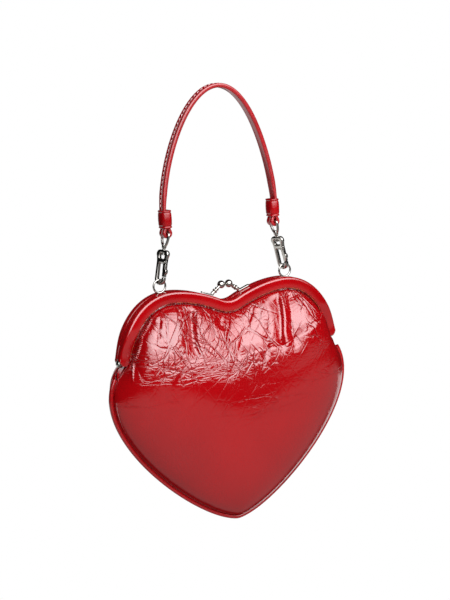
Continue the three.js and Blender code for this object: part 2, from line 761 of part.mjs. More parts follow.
// Kiss-lock: hand -1 is the front half's arm, on the left; hand 1 is the back half's
function ballCentre(hand) {
  return new THREE.Vector3(hand * (BALL_RADIUS + BALL_GAP / 2), 0, BALL_RISE);
}

function lockDepth(hand) {
  return hand * (channelInner + LOCK_INSET + LOCK_WIDTH / 2);
}

function lockSeat(hand) {
  const { point, normal } = frameStation(LOCK_X);
  const place = point.clone().addScaledVector(normal, SEAT_GAP);
  const seat = new THREE.Vector3(hand * place.x, lockDepth(hand), place.y);
  return { seat, lean: Math.atan2(normal.x, normal.y) };
}

// Where a stem leaves its plate and the way it points
function stemLine(hand) {
  const { seat, lean } = lockSeat(hand);
  const back = LOCK_LENGTH / 2 - LOCK_WIDTH / 2;
  const foot = new THREE.Vector3(-hand * back, 0, LOCK_PLATE * 0.8);
  foot.applyAxisAngle(new THREE.Vector3(0, 1, 0), hand * lean).add(seat);
  const way = ballCentre(hand).sub(foot);
  return { foot, length: way.length(), way: way.normalize() };
}

function alongStem(geometry, hand) {
  const { foot, way } = stemLine(hand);
  geometry.applyQuaternion(new THREE.Quaternion().setFromUnitVectors(new THREE.Vector3(0, 1, 0), way));
  geometry.translate(foot.x, foot.y, foot.z);
  return geometry;
}

function lockArm(hand) {
  const { seat, lean } = lockSeat(hand);
  const base = slab(roundedRectangle(LOCK_LENGTH, LOCK_WIDTH, LOCK_WIDTH * 0.4), LOCK_PLATE, LOCK_PLATE / 4);
  base.rotateY(hand * lean);
  base.translate(seat.x, seat.y, seat.z);
  const { length } = stemLine(hand);
  const tip = length - BALL_RADIUS + STEM_REACH;
  const bead = STEM * 1.75;
  const stem = turned([
    [0, 0], [STEM * 0.9, 0], [STEM * 1.3, length * 0.1], [STEM * 1.1, length * 0.24], [bead, length * 0.3],
    [bead, length * 0.38], [STEM, length * 0.43], [STEM, length * 0.47], [bead * 0.85, length * 0.52],
    [bead * 0.85, length * 0.57], [STEM, length * 0.61], [STEM, tip], [0, tip],
  ], 12);
  return joined(base, alongStem(stem, hand));
}

function lockBall(hand) {
  const ball = new THREE.SphereGeometry(BALL_RADIUS, 14, 10);
  const centre = ballCentre(hand);
  ball.translate(centre.x, centre.y, centre.z);
  const { length } = stemLine(hand);
  const deep = BALL_RADIUS + STEM_REACH;
  const socket = new THREE.CylinderGeometry(STEM + RUNNING_GAP, STEM + RUNNING_GAP, deep, 12);
  socket.translate(0, length - BALL_RADIUS + STEM_REACH + SEAT_GAP - deep / 2, 0);
  return cut(ball, alongStem(socket, hand));
}

// Handle rings, standing on the back channel's web
const ringRise = frameStation(RING_X).point.y - webTop + SEAT_GAP + RING_WIRE + RING_RADIUS;

function handleRing(hand) {
  const ring = new THREE.TorusGeometry(RING_RADIUS, RING_WIRE, 8, 22);
  ring.rotateX(Math.PI / 2);
  ring.translate(hand * RING_X, RING_SETBACK, ringRise);
  return ring;
}

// Snap hook, drawn in its own plane: X across the opening, Z up the clasp from the ring's centre
const hookInner = HOOK_OPENING / 2;
const hookOuter = hookInner + HOOK_LIMB;
const bowCentre = RING_RADIUS - RING_WIRE - HOOK_SEAT + hookInner;
const noseTop = bowCentre + HOOK_NOSE;
const bridgeBottom = bowCentre + HOOK_REACH;
const windowBottom = bridgeBottom + HOOK_BRIDGE;
const windowTop = windowBottom + WINDOW_TALL;
const shoulderRise = windowTop - SHOULDER_RADIUS / 4;
const knuckleRise = windowBottom - KNUCKLE - 2 * GATE_SLOT_GAP;
const gateMiddle = hookOuter - HOOK_LIMB / 2;
const claspLength = shoulderRise + SHOULDER_RADIUS + NECK_GAP + NECK_RADIUS + EYE_NECK;

function hookOutline() {
  const shape = new THREE.Shape();
  const waist = windowBottom - HOOK_BRIDGE / 2;
  shape.moveTo(-hookOuter, bowCentre);
  shape.absarc(0, bowCentre, hookOuter, Math.PI, 2 * Math.PI);
  shape.lineTo(hookOuter, noseTop);
  shape.lineTo(hookInner, noseTop);
  shape.lineTo(hookInner, bowCentre);
  shape.absarc(0, bowCentre, hookInner, 2 * Math.PI, Math.PI, true);
  shape.lineTo(-hookInner, bridgeBottom - hookInner / 2);
  shape.quadraticCurveTo(-hookInner, bridgeBottom, -hookInner / 2, bridgeBottom);
  shape.lineTo(hookOuter, bridgeBottom);
  shape.lineTo(hookOuter, waist);
  shape.absarc(SHOULDER_X, shoulderRise, SHOULDER_RADIUS, -Math.PI / 5, 0.6 * Math.PI);
  shape.absarc(-SHOULDER_X, shoulderRise, SHOULDER_RADIUS, 0.4 * Math.PI, 1.2 * Math.PI);
  shape.lineTo(-hookOuter, waist);
  shape.closePath();
  const middle = new THREE.Vector2(0, windowBottom + WINDOW_TALL / 2);
  const hole = roundedRectangle(WINDOW_WIDE, WINDOW_TALL, HOOK_BEVEL).getPoints(3);
  shape.holes.push(new THREE.Path(hole.map((corner) => corner.add(middle))));
  return shape;
}

function hookBody() {
  const body = plate(hookOutline(), HOOK_THICK, HOOK_BEVEL);
  const slotHalf = GATE_TONGUE / 2 + GATE_SLOT_GAP;
  const slot = block(
    [gateMiddle - KNUCKLE - GATE_ROOM, -slotHalf, bridgeBottom - HOOK_BRIDGE],
    [2 * hookOuter, slotHalf, knuckleRise + KNUCKLE + GATE_SLOT_GAP],
  );
  const bore = new THREE.CylinderGeometry(POST + RUNNING_GAP, POST + RUNNING_GAP, 4 * YOKE_WALL, 12);
  bore.rotateX(Math.PI / 2);
  bore.translate(0, 0, windowTop + 2 * YOKE_WALL - YOKE_WALL / 2);
  return cut(body, slot, bore, pinBore(GATE_PIN + RUNNING_GAP, 2 * HOOK_THICK));
}

// Cylinder across the hook's plane at the gate's pivot
function pinBore(radius, length) {
  const bore = new THREE.CylinderGeometry(radius, radius, length, 12);
  bore.translate(gateMiddle, 0, knuckleRise);
  return bore;
}

function gatePin() {
  const half = HOOK_THICK / 2 + PIN_PROUD;
  const pin = turned([[0, -half], [GATE_PIN, -half], [GATE_PIN, half], [0, half]], 12);
  pin.translate(gateMiddle, 0, knuckleRise);
  return pin;
}

function hookGate() {
  const low = noseTop + GATE_GAP;
  const high = bridgeBottom - GATE_SLOT_GAP;
  const [inner, outer] = [gateMiddle - GATE_WIDE / 2, gateMiddle + GATE_WIDE / 2];
  const thumb = (low + high) / 2 - THUMB_LENGTH / 4;
  const bar = new THREE.Shape(points2d([
    [inner, low], [outer, low], [outer, thumb - THUMB_LENGTH / 2],
    [outer + THUMB_PROUD, thumb - THUMB_LENGTH / 4], [outer + THUMB_PROUD, thumb + THUMB_LENGTH / 4],
    [outer, thumb + THUMB_LENGTH / 2], [outer, high], [gateMiddle, high], [inner, high - GATE_WIDE / 2],
  ]));
  const eye = new THREE.Shape();
  eye.absarc(gateMiddle, knuckleRise, KNUCKLE, 0, Math.PI);
  eye.lineTo(gateMiddle - KNUCKLE, high - KNUCKLE);
  eye.lineTo(gateMiddle + KNUCKLE, high - KNUCKLE);
  const gate = joined(plate(bar, GATE_THICK, HOOK_BEVEL / 2), plate(eye, GATE_TONGUE, 0));
  return cut(gate, pinBore(GATE_PIN + RUNNING_GAP, 2 * HOOK_THICK));
}

// Leaf spring from under the bridge down the inside of the gate
function gateSpring() {
  const side = gateMiddle - GATE_WIDE / 2 - SPRING_GAP - SPRING / 2;
  const roof = bridgeBottom - SPRING_GAP - SPRING / 2;
  const bend = HOOK_LIMB / 2;
  const foot = (noseTop + roof) / 2;
  const curve = new THREE.CurvePath();
  curve.add(new THREE.LineCurve(...points2d([[-hookInner / 2, roof], [side - bend, roof]])));
  curve.add(bezier(points2d([[side - bend, roof], [side, roof], [side, roof - bend]])));
  curve.add(new THREE.LineCurve(...points2d([[side, roof - bend], [side, foot]])));
  const [across, thick] = [SPRING_WIDE / 2, SPRING / 2];
  const section = points2d([[-across, -thick], [across, -thick], [across, thick], [-across, thick]]);
  return band(stations(curve, 14), section);
}

// Swivel eye: a loop whose bar lies in the strap's fold, with a headed post down into the hook's window
function swivelEye() {
  const half = STRAP_WIDE / 2 + STRAP_GAP + EYE_WIRE;
  const loop = mirroredCurve([
    points2d([[0, 0], [half * 0.35, 0], [half * 0.75, 0]]),
    points2d([[half * 0.75, 0], [half * 1.12, 0], [half * 0.98, -EYE_NECK * 0.32]]),
    points2d([[half * 0.98, -EYE_NECK * 0.32], [half * 0.7, -EYE_NECK], [0, -EYE_NECK]]),
  ]);
  const wire = band(stations(loop, 24).slice(1), circle(EYE_WIRE, 6), 1, true);
  wire.rotateZ(Math.PI / 2);
  wire.translate(0, 0, claspLength);
  const neck = claspLength - EYE_NECK;
  const headTop = windowTop - SEAT_GAP;
  const post = turned([
    [0, headTop - HEAD_TALL], [POST_HEAD, headTop - HEAD_TALL], [POST_HEAD, headTop], [POST, headTop],
    [POST, neck - NECK_RADIUS], [NECK_RADIUS, neck - NECK_RADIUS / 2], [NECK_RADIUS, neck + NECK_RADIUS / 2],
    [POST, neck + NECK_RADIUS], [0, neck + NECK_RADIUS],
  ], 12);
  post.rotateX(Math.PI / 2);
  return joined(wire, post);
}

// Handle strap: one ribbon over the arch, each end folded round an eye's bar and back up into its keeper
const barX = RING_X - claspLength * Math.sin(CLASP_TILT);
const barRise = ringRise + claspLength * Math.cos(CLASP_TILT);
const keeperBottom = barRise + KEEPER_LIFT;
const keeperTop = keeperBottom + KEEPER_TALL;
const layer = STRAP_THICK / 2 + STRAP_GAP / 2;

function strapCurve() {
  const fold = EYE_WIRE + STRAP_GAP + STRAP_THICK / 2;
  const at = (x, z) => new THREE.Vector2(x, z);
  const leg = barX + layer;
  const tail = barX - layer;
  const bow = fold * QUARTER_BOW;
  const outer = at(barX + fold, barRise);
  const under = at(barX, barRise - fold);
  const inner = at(barX - fold, barRise);
  const arch = [at(ARCH_SHOULDER, HANDLE_TOP), at(leg - ARCH_FLARE, keeperTop + ARCH_LEG)];
  return mirroredCurve([
    [at(0, HANDLE_TOP), ...arch, at(leg, keeperTop)],
    [at(leg, keeperTop), at(leg, keeperTop - KEEPER_TALL / 2), at(leg, keeperBottom)],
    [at(leg, keeperBottom), at(leg, barRise + fold), at(outer.x, barRise + fold / 2), outer],
    [outer, at(outer.x, barRise - bow), at(barX + bow, under.y), under],
    [under, at(barX - bow, under.y), at(inner.x, barRise - bow), inner],
    [inner, at(inner.x, barRise + fold / 2), at(tail, barRise + fold), at(tail, keeperBottom)],
    [at(tail, keeperBottom), at(tail, keeperTop - KEEPER_TALL / 2), at(tail, keeperTop - FOLD_SHORT)],
  ]);
}

// Arch above the keepers, leaning to the front
function leaning(geometry) {
  const places = geometry.attributes.position;
  for (let place = 0; place < places.count; place += 1) {
    const rise = Math.max(0, (places.getZ(place) - keeperTop) / (HANDLE_TOP - keeperTop));
    places.setY(place, places.getY(place) - ARCH_LEAN * rise ** 2);
  }
  return geometry;
}

function handleStrap() {
  const curve = strapCurve();
  const count = curve.curves.length / 2;
  const steps = [1, 2, 3, 3, 2, 1, 14];
  const places = [];
  for (let piece = 0; piece < curve.curves.length; piece += 1) {
    const order = piece < count ? piece : 2 * count - 1 - piece;
    const part = stations(curve.curves[piece], steps[order]);
    places.push(...(piece === 0 ? part : part.slice(1)));
  }
  const section = distinct(roundedRectangle(STRAP_WIDE, STRAP_THICK, STRAP_ROUND).getPoints(1));
  return leaning(band(places, section));
}

function strapKeeper(hand) {
  const inside = [2 * (layer + STRAP_THICK / 2 + STRAP_GAP), STRAP_WIDE + 2 * STRAP_GAP];
  const [wide, deep] = inside.map((size) => size + 2 * KEEPER_WALL);
  const shape = roundedRectangle(wide, deep, KEEPER_ROUND);
  shape.holes.push(new THREE.Path(roundedRectangle(...inside, STRAP_ROUND).getPoints(2)));
  const keeper = slab(shape, KEEPER_TALL, KEEPER_WALL / 4);
  keeper.translate(hand * barX, RING_SETBACK, keeperBottom);
  return keeper;
}

function mesh(name, geometry, material) {
  const piece = new THREE.Mesh(welded(geometry), material);
  piece.name = name;
  return piece;
}

// Clasp on one side: its eye stands along the leaning axis, and the hook turns on the eye's post
function clasp(name, hand) {
  const group = new THREE.Group();
  group.position.set(hand * RING_X, RING_SETBACK, ringRise);
  group.rotation.y = -hand * CLASP_TILT;
  const hook = new THREE.Group();
  hook.rotation.z = HOOK_REST;
  hook.add(mesh(`hook_body_${name}`, hookBody(), silver));
  hook.add(mesh(`hook_gate_${name}`, hookGate(), silver));
  hook.add(mesh(`gate_pin_${name}`, gatePin(), silver));
  hook.add(mesh(`gate_spring_${name}`, gateSpring(), silver));
  group.add(hook, mesh(`swivel_eye_${name}`, swivelEye(), silver));
  return group;
}

const bag = new THREE.Group();
for (const [name, side] of [['front', -1], ['back', 1]]) {
  bag.add(mesh(`frame_channel_${name}`, frameChannel(side), silver));
  bag.add(mesh(`frame_cover_${name}`, frameCover(side), redLeather));
  bag.add(mesh(`packing_cord_${name}`, packingCord(side), paper));
  bag.add(mesh(`lock_arm_${name}`, lockArm(side), silver));
  bag.add(mesh(`lock_ball_${name}`, lockBall(side), silver));
}
for (const [name, hand] of [['left', -1], ['right', 1]]) {
  bag.add(mesh(`hinge_rivet_${name}`, hingeRivet(hand), silver));
  bag.add(mesh(`handle_ring_${name}`, handleRing(hand), silver));
  bag.add(mesh(`strap_keeper_${name}`, strapKeeper(hand), strapLeather));
  bag.add(clasp(name, hand));
}
bag.add(mesh('front_panel_upper', frontPanelUpper(), redLeather));
bag.add(mesh('front_panel_lower', frontPanelLower(), redLeather));
bag.add(mesh('back_panel', backPanel(), redLeather));
bag.add(mesh('front_lining_upper', frontLiningUpper(), liningCloth));
bag.add(mesh('front_lining_lower', frontLiningLower(), liningCloth));
bag.add(mesh('back_lining', backLining(), liningCloth));
bag.add(mesh('piping', piping(), redLeather));
const strap = mesh('handle_strap', handleStrap(), strapLeather);
strap.position.y = RING_SETBACK;
bag.add(strap);

// Origin under the strap at the top of its arch
bag.position.set(0, ARCH_LEAN - RING_SETBACK, STRAP_THICK / 2 - HANDLE_TOP);

const handbag = new THREE.Group();
handbag.add(bag);
export default handbag;
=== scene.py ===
import math

import bmesh
import bpy
import numpy as np
from mathutils import Matrix, Vector, noise


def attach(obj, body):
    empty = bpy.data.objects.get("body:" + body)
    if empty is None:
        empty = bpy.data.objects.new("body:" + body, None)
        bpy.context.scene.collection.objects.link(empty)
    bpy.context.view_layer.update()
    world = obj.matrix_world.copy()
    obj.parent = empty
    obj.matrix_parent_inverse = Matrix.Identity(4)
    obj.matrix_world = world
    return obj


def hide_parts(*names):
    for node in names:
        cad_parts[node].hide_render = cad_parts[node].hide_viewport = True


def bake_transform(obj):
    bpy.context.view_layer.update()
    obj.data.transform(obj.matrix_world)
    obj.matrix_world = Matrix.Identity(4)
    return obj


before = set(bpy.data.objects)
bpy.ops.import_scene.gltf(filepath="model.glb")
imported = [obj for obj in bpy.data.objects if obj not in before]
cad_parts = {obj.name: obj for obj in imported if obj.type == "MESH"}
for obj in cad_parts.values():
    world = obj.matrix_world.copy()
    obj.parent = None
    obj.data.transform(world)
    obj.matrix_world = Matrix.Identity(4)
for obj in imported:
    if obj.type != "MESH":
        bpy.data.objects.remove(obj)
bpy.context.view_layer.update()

# Sizes in millimetres, or shares of other sizes.
# Heights are above the frame's hinge axis, depths from the bag's middle plane.
MM = 0.001
HINGE_DROP = 201.9
RING_SETBACK = 2.2

# Outline of the frame's top and of the seam
LOBE = (49, 50.4)
DIP_RISE = 38.2
DIP_ROUND = 3.5
DIP_SLOPE = 0.48
DIP_PULL = 8
LOBE_PULL_IN = 17
LOBE_PULL_OUT = 22
FRAME_END = (95.3, 4)
FRAME_END_LEAN = 6.3
FRAME_END_PULL = 30
FRAME_TAPER = 0.66
TAPER_RISE = 26
SIDE = (99.9, -10.6)
SIDE_PULL = (26.2, 45.7)
TIP_DROP = 137
TIP_PULL = 33.3
TIP_LIFT = 2.6

# Frame and pouch
FRAME_TALL = 8.6
METAL = 1
COVER = 1.2
COVER_GAP = 0.3
COVER_CROWN = 2
COVER_SHORT = 3
COVER_END = 0.2
COVER_ROUND = 0.35
TONGUE_LENGTH = 5
TONGUE_TIP = 0.99
LUG_CLEAR = 2
TRIM_RADIUS = 0.34
TRIM_INSET = COVER * 0.62
TRIM_RISE = 0.2
CHANNEL_INNER = 0.4
FLANGE_INNER = 5.15
COVER_OUTER = 7.65
WEB_TOP = COVER + COVER_GAP
TUCK_DEPTH = WEB_TOP + METAL + 2
TUCK_FADE = 6
TUCK_SLIP = 0.15
CORD_PLACE = (2.2, -4.8)
CORD_RADIUS = 0.47
CORD_STRAND = 0.08
CORD_LAY = 3.2
PANEL = 1.3
PANEL_OUTER = 4.9
MOUTH = FRAME_TALL + 1.5
PIPING = 3.5
TONGUE = 1.2
TONGUE_REACH = 6
SEAM_INSET = PIPING + 0.3
SEAM_OUTER = 2.2
CROWN = 27
SPREAD_POWER = 2.6
SPREAD_EDGE = 0.55
SWELL_HEAD = 0.62
SWELL_FOOT = 0.55
SIDE_BOW = 1
BACK_FLARE = 8
GUSSET = 0.8
GUSSET_FOLD = 5
GUSSET_GAP = 0.3
GUSSET_INSETS = (0.6, 1.2)
CORNER_SHARE = 0.66
CORNER_CUT = 0.012
HINGE_SHARE = 0.62
LINING_INSET = 2.4
LINING_REACH = 0.95
LINING_GAP = 0.25
LINING_LEAVES = (0, 0.1)
LINING_NEARS = (0.85, 0.95)
LINING_NEARER = 0.6
LINING_SLACK = 0.5
LINING_SLACKENS = (0.05, 0.3)
LINING_WAVE = (20, 30)

# Hinge, lock and rings
HINGE_INNER = 92.2
HINGE_OUTER = 94.5
RIVET_RADIUS = 1.3
RIVET_HEAD = 2.7
RIVET_DOME = 1.7
RIVET_CLINCH = 0.4
BALL_RADIUS = 3.1
BALL_GAP = 0.4
BALL_RISE = 50.2
LOCK_X = 17.5
LOCK_SIZE = (11, 3.2, 1.1)
LOCK_ROUND = LOCK_SIZE[1] * 0.42
LOCK_BEVEL = LOCK_SIZE[2] * 0.3
LOCK_DEPTH = 2.3
SEAT_GAP = 0.3
CHAMFER = 0.15
RING_X = 55.2
RING_RADIUS = 5
RING_WIRE = 0.85
RING_SLIM = RING_WIRE * 0.92
RING_SLOT = (-0.8, 3.35)

# Turned stem of the lock: places as shares of its length, with the radius there
STEM = 1.15
STEM_SINK = LOCK_SIZE[2] * 0.8
STEM_FOOT = ((0, STEM * 0.9), (0.1, STEM * 1.3), (0.24, STEM * 1.1))
BEAD = STEM * 1.75
STEM_BEADS = ((0.34, BEAD), (0.545, BEAD * 0.85))
BEAD_HALF = 0.055
STEM_NECK = 0.64
BALL_SINK = 0.3

# Clasp, upwards from the ring's centre
CLASP_TILT = math.radians(11.5)
HOOK_TURN = math.radians(-72)
HOOK_LIMB = 2.7
HOOK_INNER = 2.3
HOOK_OUTER = HOOK_INNER + HOOK_LIMB
HOOK_THICK = 3.2
HOOK_BEVEL = 0.8
PLATE_BEVEL = HOOK_BEVEL + 0.2
PART_GAP = 0.3
BORE_ROOM = 0.2
BORE_HALF = 5
PIN_BORE_HALF = 4
BOW_RISE = RING_RADIUS - RING_WIRE - 0.5 + HOOK_INNER
NOSE_RISE = BOW_RISE + 1.3
BRIDGE_RISE = BOW_RISE + 11.95
BRIDGE = 3.3
WINDOW = (5.2, 4.3)
WINDOW_ROUND = HOOK_BEVEL * 1.6
WINDOW_RISE = BRIDGE_RISE + BRIDGE
WINDOW_TOP = WINDOW_RISE + WINDOW[1]
SHOULDER_X = 2.9
SHOULDER_RADIUS = 3.3
SHOULDER_RISE = WINDOW_TOP - SHOULDER_RADIUS / 4
YOKE_WALL = 2.4
GATE_MIDDLE = HOOK_OUTER - HOOK_LIMB / 2
GATE_WIDE = 2.7
GATE_THICK = 2.6
GATE_TONGUE = 1.7
GATE_GAP = 0.35
GATE_ROOM = 0.8
KNUCKLE = 1.55
KNUCKLE_RISE = WINDOW_RISE - KNUCKLE - 0.6
GATE_PIN = 0.7
THUMB = (1.1, 4)
SPRING = 0.3
SPRING_WIDE = 1.5
SPRING_ROUND = SPRING * 0.3
EYE_WIRE = 1.05
EYE_NECK = 10
NECK_RADIUS = 1.9
POST = 1.2
POST_HEAD = 2
HEAD_TALL = 1.3
HEAD_BEVELS = (0.3, 0.2)
CLASP_LENGTH = SHOULDER_RISE + SHOULDER_RADIUS + 0.8 + NECK_RADIUS + EYE_NECK

# Handle
HANDLE_TOP = 203.2
STRAP_WIDE = 8.2
STRAP_THICK = 2.6
STRAP_GAP = 0.3
STRAP_ROUND = 1.1
STRAP_GROOVE = [(0.9, 1.3), (0.45, 1.1), (0.15, 0.98), (-0.15, 1.1), (-0.6, 1.3)]
QUARTER_ROUND = 0.5523
ARCH_SHOULDER = 27
ARCH_LEAN = 6
ARCH_FLARE = 1.95
ARCH_LEG = 35.5
ARCH_FULL = 0.9
ARCH_FILL = (1, 14)
TAIL_SHORT = 1
KEEPER_TALL = 13.5
KEEPER_WALL = 1.2
KEEPER_LIFT = 4
KEEPER_ROUND = 3.4
KEEPER_ROUND_INSIDE = 1.8

# Heights above a keeper's foot, with how far it is pressed in there
KEEPER_FOOT = [(0, 0.3), (0.2, 0.08), (0.6, 0), (1.1, 0.08), (1.5, 0.4), (2.0, 0.12), (2.8, 0)]
KEEPER_WAIST = -0.12

# Stitches over the arch
STITCHES = 62
STITCH_START = 2
STITCH_HALF = 1.15
STITCH_PLACE = 0.15
STITCH_RISE = 1.12 + ARCH_FULL * 0.43
STITCH_BULGE = 0.25
STITCH_SLANT = 0.12
STITCH_ENDS = 0.12
STITCH_BODY = 0.16

# Names of the two hands and of the frame's halves, with their sides and bodies
HANDS = (("left", -1), ("right", 1))
FRAME_HALVES = (("front", -1, "front_frame"), ("back", 1, "bag"))

# Least angle in degrees of an edge that stays sharp, on hard pieces and on soft ones
SHARP = 38
SOFT_SHARP = 75


# Flat lines
def bezier(points, t):
    """Point at share t of a curve that its control points pull."""
    points = [Vector(p) for p in points]
    while len(points) > 1:
        points = [a.lerp(b, t) for a, b in zip(points, points[1:])]
    return points[0]


def mirrored(right):
    """Right half of a flat line with its mirror image before it."""
    left = [[(-x, z) for x, z in reversed(points)] for points in reversed(right)]
    return left + right


class Line:
    """Flat line in X and height, read by share of its length."""

    def __init__(self, pieces, steps=48):
        points = [bezier(piece, step / steps) for piece in pieces for step in range(steps)]
        points.append(Vector(pieces[-1][-1]))
        self.points = np.array(points)
        steps = np.linalg.norm(np.diff(self.points, axis=0), axis=1)
        self.reach = np.concatenate([[0], np.cumsum(steps)])
        self.length = self.reach[-1]

    def point(self, share):
        place = np.clip(share, 0, 1) * self.length
        return Vector([np.interp(place, self.reach, self.points[:, axis]) for axis in range(2)])

    def station(self, share):
        step = 0.4 / self.length
        along = self.point(min(share + step, 1)) - self.point(max(share - step, 0))
        along.normalize()
        return self.point(share), Vector((-along.y, along.x))

    def beside(self, share, distance):
        point, normal = self.station(share)
        return point + normal * distance


def frame_line():
    """Top of the frame, from the left end over both lobes and the dip to the right end."""
    bend = (2 * DIP_ROUND, DIP_RISE + DIP_SLOPE * DIP_ROUND)
    (lobe_x, lobe_rise), (end_x, end_rise) = LOBE, FRAME_END
    slope = (bend[0] + DIP_PULL, bend[1] + DIP_SLOPE * DIP_PULL)
    side = (end_x - FRAME_END_LEAN, end_rise + FRAME_END_PULL)
    return Line(mirrored([
        [(0, DIP_RISE), (DIP_ROUND, DIP_RISE), bend],
        [bend, slope, (lobe_x - LOBE_PULL_IN, lobe_rise), LOBE],
        [LOBE, (lobe_x + LOBE_PULL_OUT, lobe_rise), side, FRAME_END],
    ]))


def seam_line():
    """Seam from the left side round the tip to the right side."""
    swell = (SIDE[0] + SIDE_PULL[0], SIDE[1] - SIDE_PULL[1])
    return Line(mirrored([[(0, -TIP_DROP), (TIP_PULL, TIP_LIFT - TIP_DROP), swell, SIDE]]))


rim = frame_line()
seam = seam_line()
cover_trim = COVER_SHORT / rim.length


def rim_point(share, distance):
    """Point beside the frame's top, from -1 at its left end to 1 at its right."""
    return rim.beside(0.5 + share * (0.5 - cover_trim), distance)


def seam_point(u):
    """Point inside the seam, from -1 at its left end to 1 at its right."""
    return seam.beside(0.5 + u / 2, SEAM_INSET)


def narrow(height):
    """Share of the frame's full depth that is left at a height."""
    return FRAME_TAPER + (1 - FRAME_TAPER) * smoothstep(height, FRAME_END[1], TAPER_RISE)


def smoothstep(value, low, high):
    """Smooth rise from 0 to 1 between two values."""
    t = np.clip((value - low) / (high - low), 0, 1)
    return t * t * (3 - 2 * t)


def rim_share(x):
    """Share of the rim at a distance from the centre line."""
    shares = np.linspace(0.5, 1, 600)
    return shares[np.argmin([abs(rim.point(share).x - x) for share in shares])]


# Meshes
def to_world(points):
    """Points of the bag, in millimetres, as places in the scene."""
    return [Vector((p[0], p[1] + ARCH_LEAN - RING_SETBACK, p[2] - HINGE_DROP)) * MM for p in points]


def make_piece(name, points, faces, material, sharp=SHARP, closed=True):
    """Piece from points in millimetres, smooth apart from its sharp edges."""
    mesh = bpy.data.meshes.new(name)
    mesh.from_pydata(to_world(points), [], faces)
    if closed:
        turned = bmesh.new()
        turned.from_mesh(mesh)
        bmesh.ops.recalc_face_normals(turned, faces=turned.faces)
        turned.to_mesh(mesh)
        turned.free()
    mesh.materials.append(material)
    mesh.shade_smooth()
    mesh.set_sharp_from_angle(angle=math.radians(sharp))
    piece = bpy.data.objects.new(name, mesh)
    bpy.context.scene.collection.objects.link(piece)
    return piece


def stand_for(piece, body, *nodes, slot=None):
    """Let a piece ride on a body, for nodes of the part where these are given. The slot is not used."""
    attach(piece, body)
    if nodes:
        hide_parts(*nodes)


def loft_faces(count, size, looped=False):
    """Faces between rings of points of one size, capped at both ends if not looped."""
    faces = []
    for ring in range(count if looped else count - 1):
        here, there = ring * size, (ring + 1) % count * size
        for corner in range(size):
            other = (corner + 1) % size
            faces.append((here + corner, here + other, there + other, there + corner))
    if not looped:
        last = (count - 1) * size
        faces.append(tuple(range(size - 1, -1, -1)))
        faces.append(tuple(range(last, last + size)))
    return faces


def arc(x, y, radius, start, end, steps):
    """Points of an arc round a centre, from one angle in degrees to another."""
    angles = [math.radians(start + (end - start) * step / steps) for step in range(steps + 1)]
    return [(x + radius * math.cos(a), y + radius * math.sin(a)) for a in angles]


def circle(radius, sides):
    return arc(0, 0, radius, 0, 360 - 360 / sides, sides - 1)


def round_box(width, height, radius, steps=6):
    """Outline of a box with rounded corners."""
    x, y = width / 2 - radius, height / 2 - radius
    corners = [(x, y, 0), (-x, y, 90), (-x, -y, 180), (x, -y, 270)]
    return [p for cx, cy, start in corners for p in arc(cx, cy, radius, start, start + 90, steps)]


def off_line(station, height, depth):
    """Point at a height off a flat line's station and at a depth."""
    place, normal = station
    return place.x + normal.x * height, depth, place.y + normal.y * height


def band(line, shares, section, side=1):
    """Points and faces of a section of depth and height carried along a flat line."""
    points = []
    for share in shares:
        station = line.station(share)
        points += [off_line(station, h, side * d) for d, h in section]
    return points, loft_faces(len(shares), len(section))


def narrowed(shape):
    """Piece of the frame drawn in towards its ends."""
    return [(x, depth * narrow(height), height) for x, depth, height in shape[0]], shape[1]


def lathe(profile, sides=40):
    """Turned shape along Z from radius and height pairs that start and end on the axis."""
    points = [(0, 0, profile[0][1])]
    for radius, height in profile[1:-1]:
        points += [(x, y, height) for x, y in circle(radius, sides)]
    points.append((0, 0, profile[-1][1]))
    last = len(points) - 1
    faces = []
    for corner in range(sides):
        other = (corner + 1) % sides
        faces.append((0, 1 + other, 1 + corner))
        faces.append((last, last - sides + corner, last - sides + other))
        for ring in range(len(profile) - 3):
            here = 1 + ring * sides
            faces.append((here + corner, here + other, here + sides + other, here + sides + corner))
    return points, faces


def rod(radius, half, middle=0, chamfer=0):
    """Round bar along Z, half its length to each side of its middle, with its rims broken or not."""
    end = [(radius - chamfer, half), (radius, half - chamfer)] if chamfer else [(radius, half)]
    profile = [(0, -half), *[(r, -h) for r, h in end], *reversed(end), (0, half)]
    return lathe([(r, middle + h) for r, h in profile], 24)


def tube(path, radius, sides, looped=False):
    """Round wire along points in space."""
    path = [Vector(p) for p in path]
    count = len(path)
    points = []
    across = None
    for index, point in enumerate(path):
        before = path[index - 1] if looped or index else point
        after = path[(index + 1) % count] if looped or index < count - 1 else point
        along = (after - before).normalized()
        if across is None:
            across = along.orthogonal().normalized()
        across = (across - along * across.dot(along)).normalized()
        other = along.cross(across)
        wide = radius[index] if hasattr(radius, "__len__") else radius
        points += [point + across * x + other * y for x, y in circle(wide, sides)]
    return points, loft_faces(count, sides, looped)


def torus(centre, radius, wire, sides=56):
    """Ring of round wire that stands in X and Z."""
    path = [(centre[0] + x, centre[1], centre[2] + z) for x, z in circle(radius, sides)]
    return tube(path, wire, 16, looped=True)


def together(*shapes):
    """Several shapes as one."""
    points, faces = [], []
    for shape_points, shape_faces in shapes:
        start = len(points)
        points += list(shape_points)
        faces += [tuple(start + corner for corner in face) for face in shape_faces]
    return points, faces


def placed(shape, matrix):
    return [matrix @ Vector(p) for p in shape[0]], shape[1]


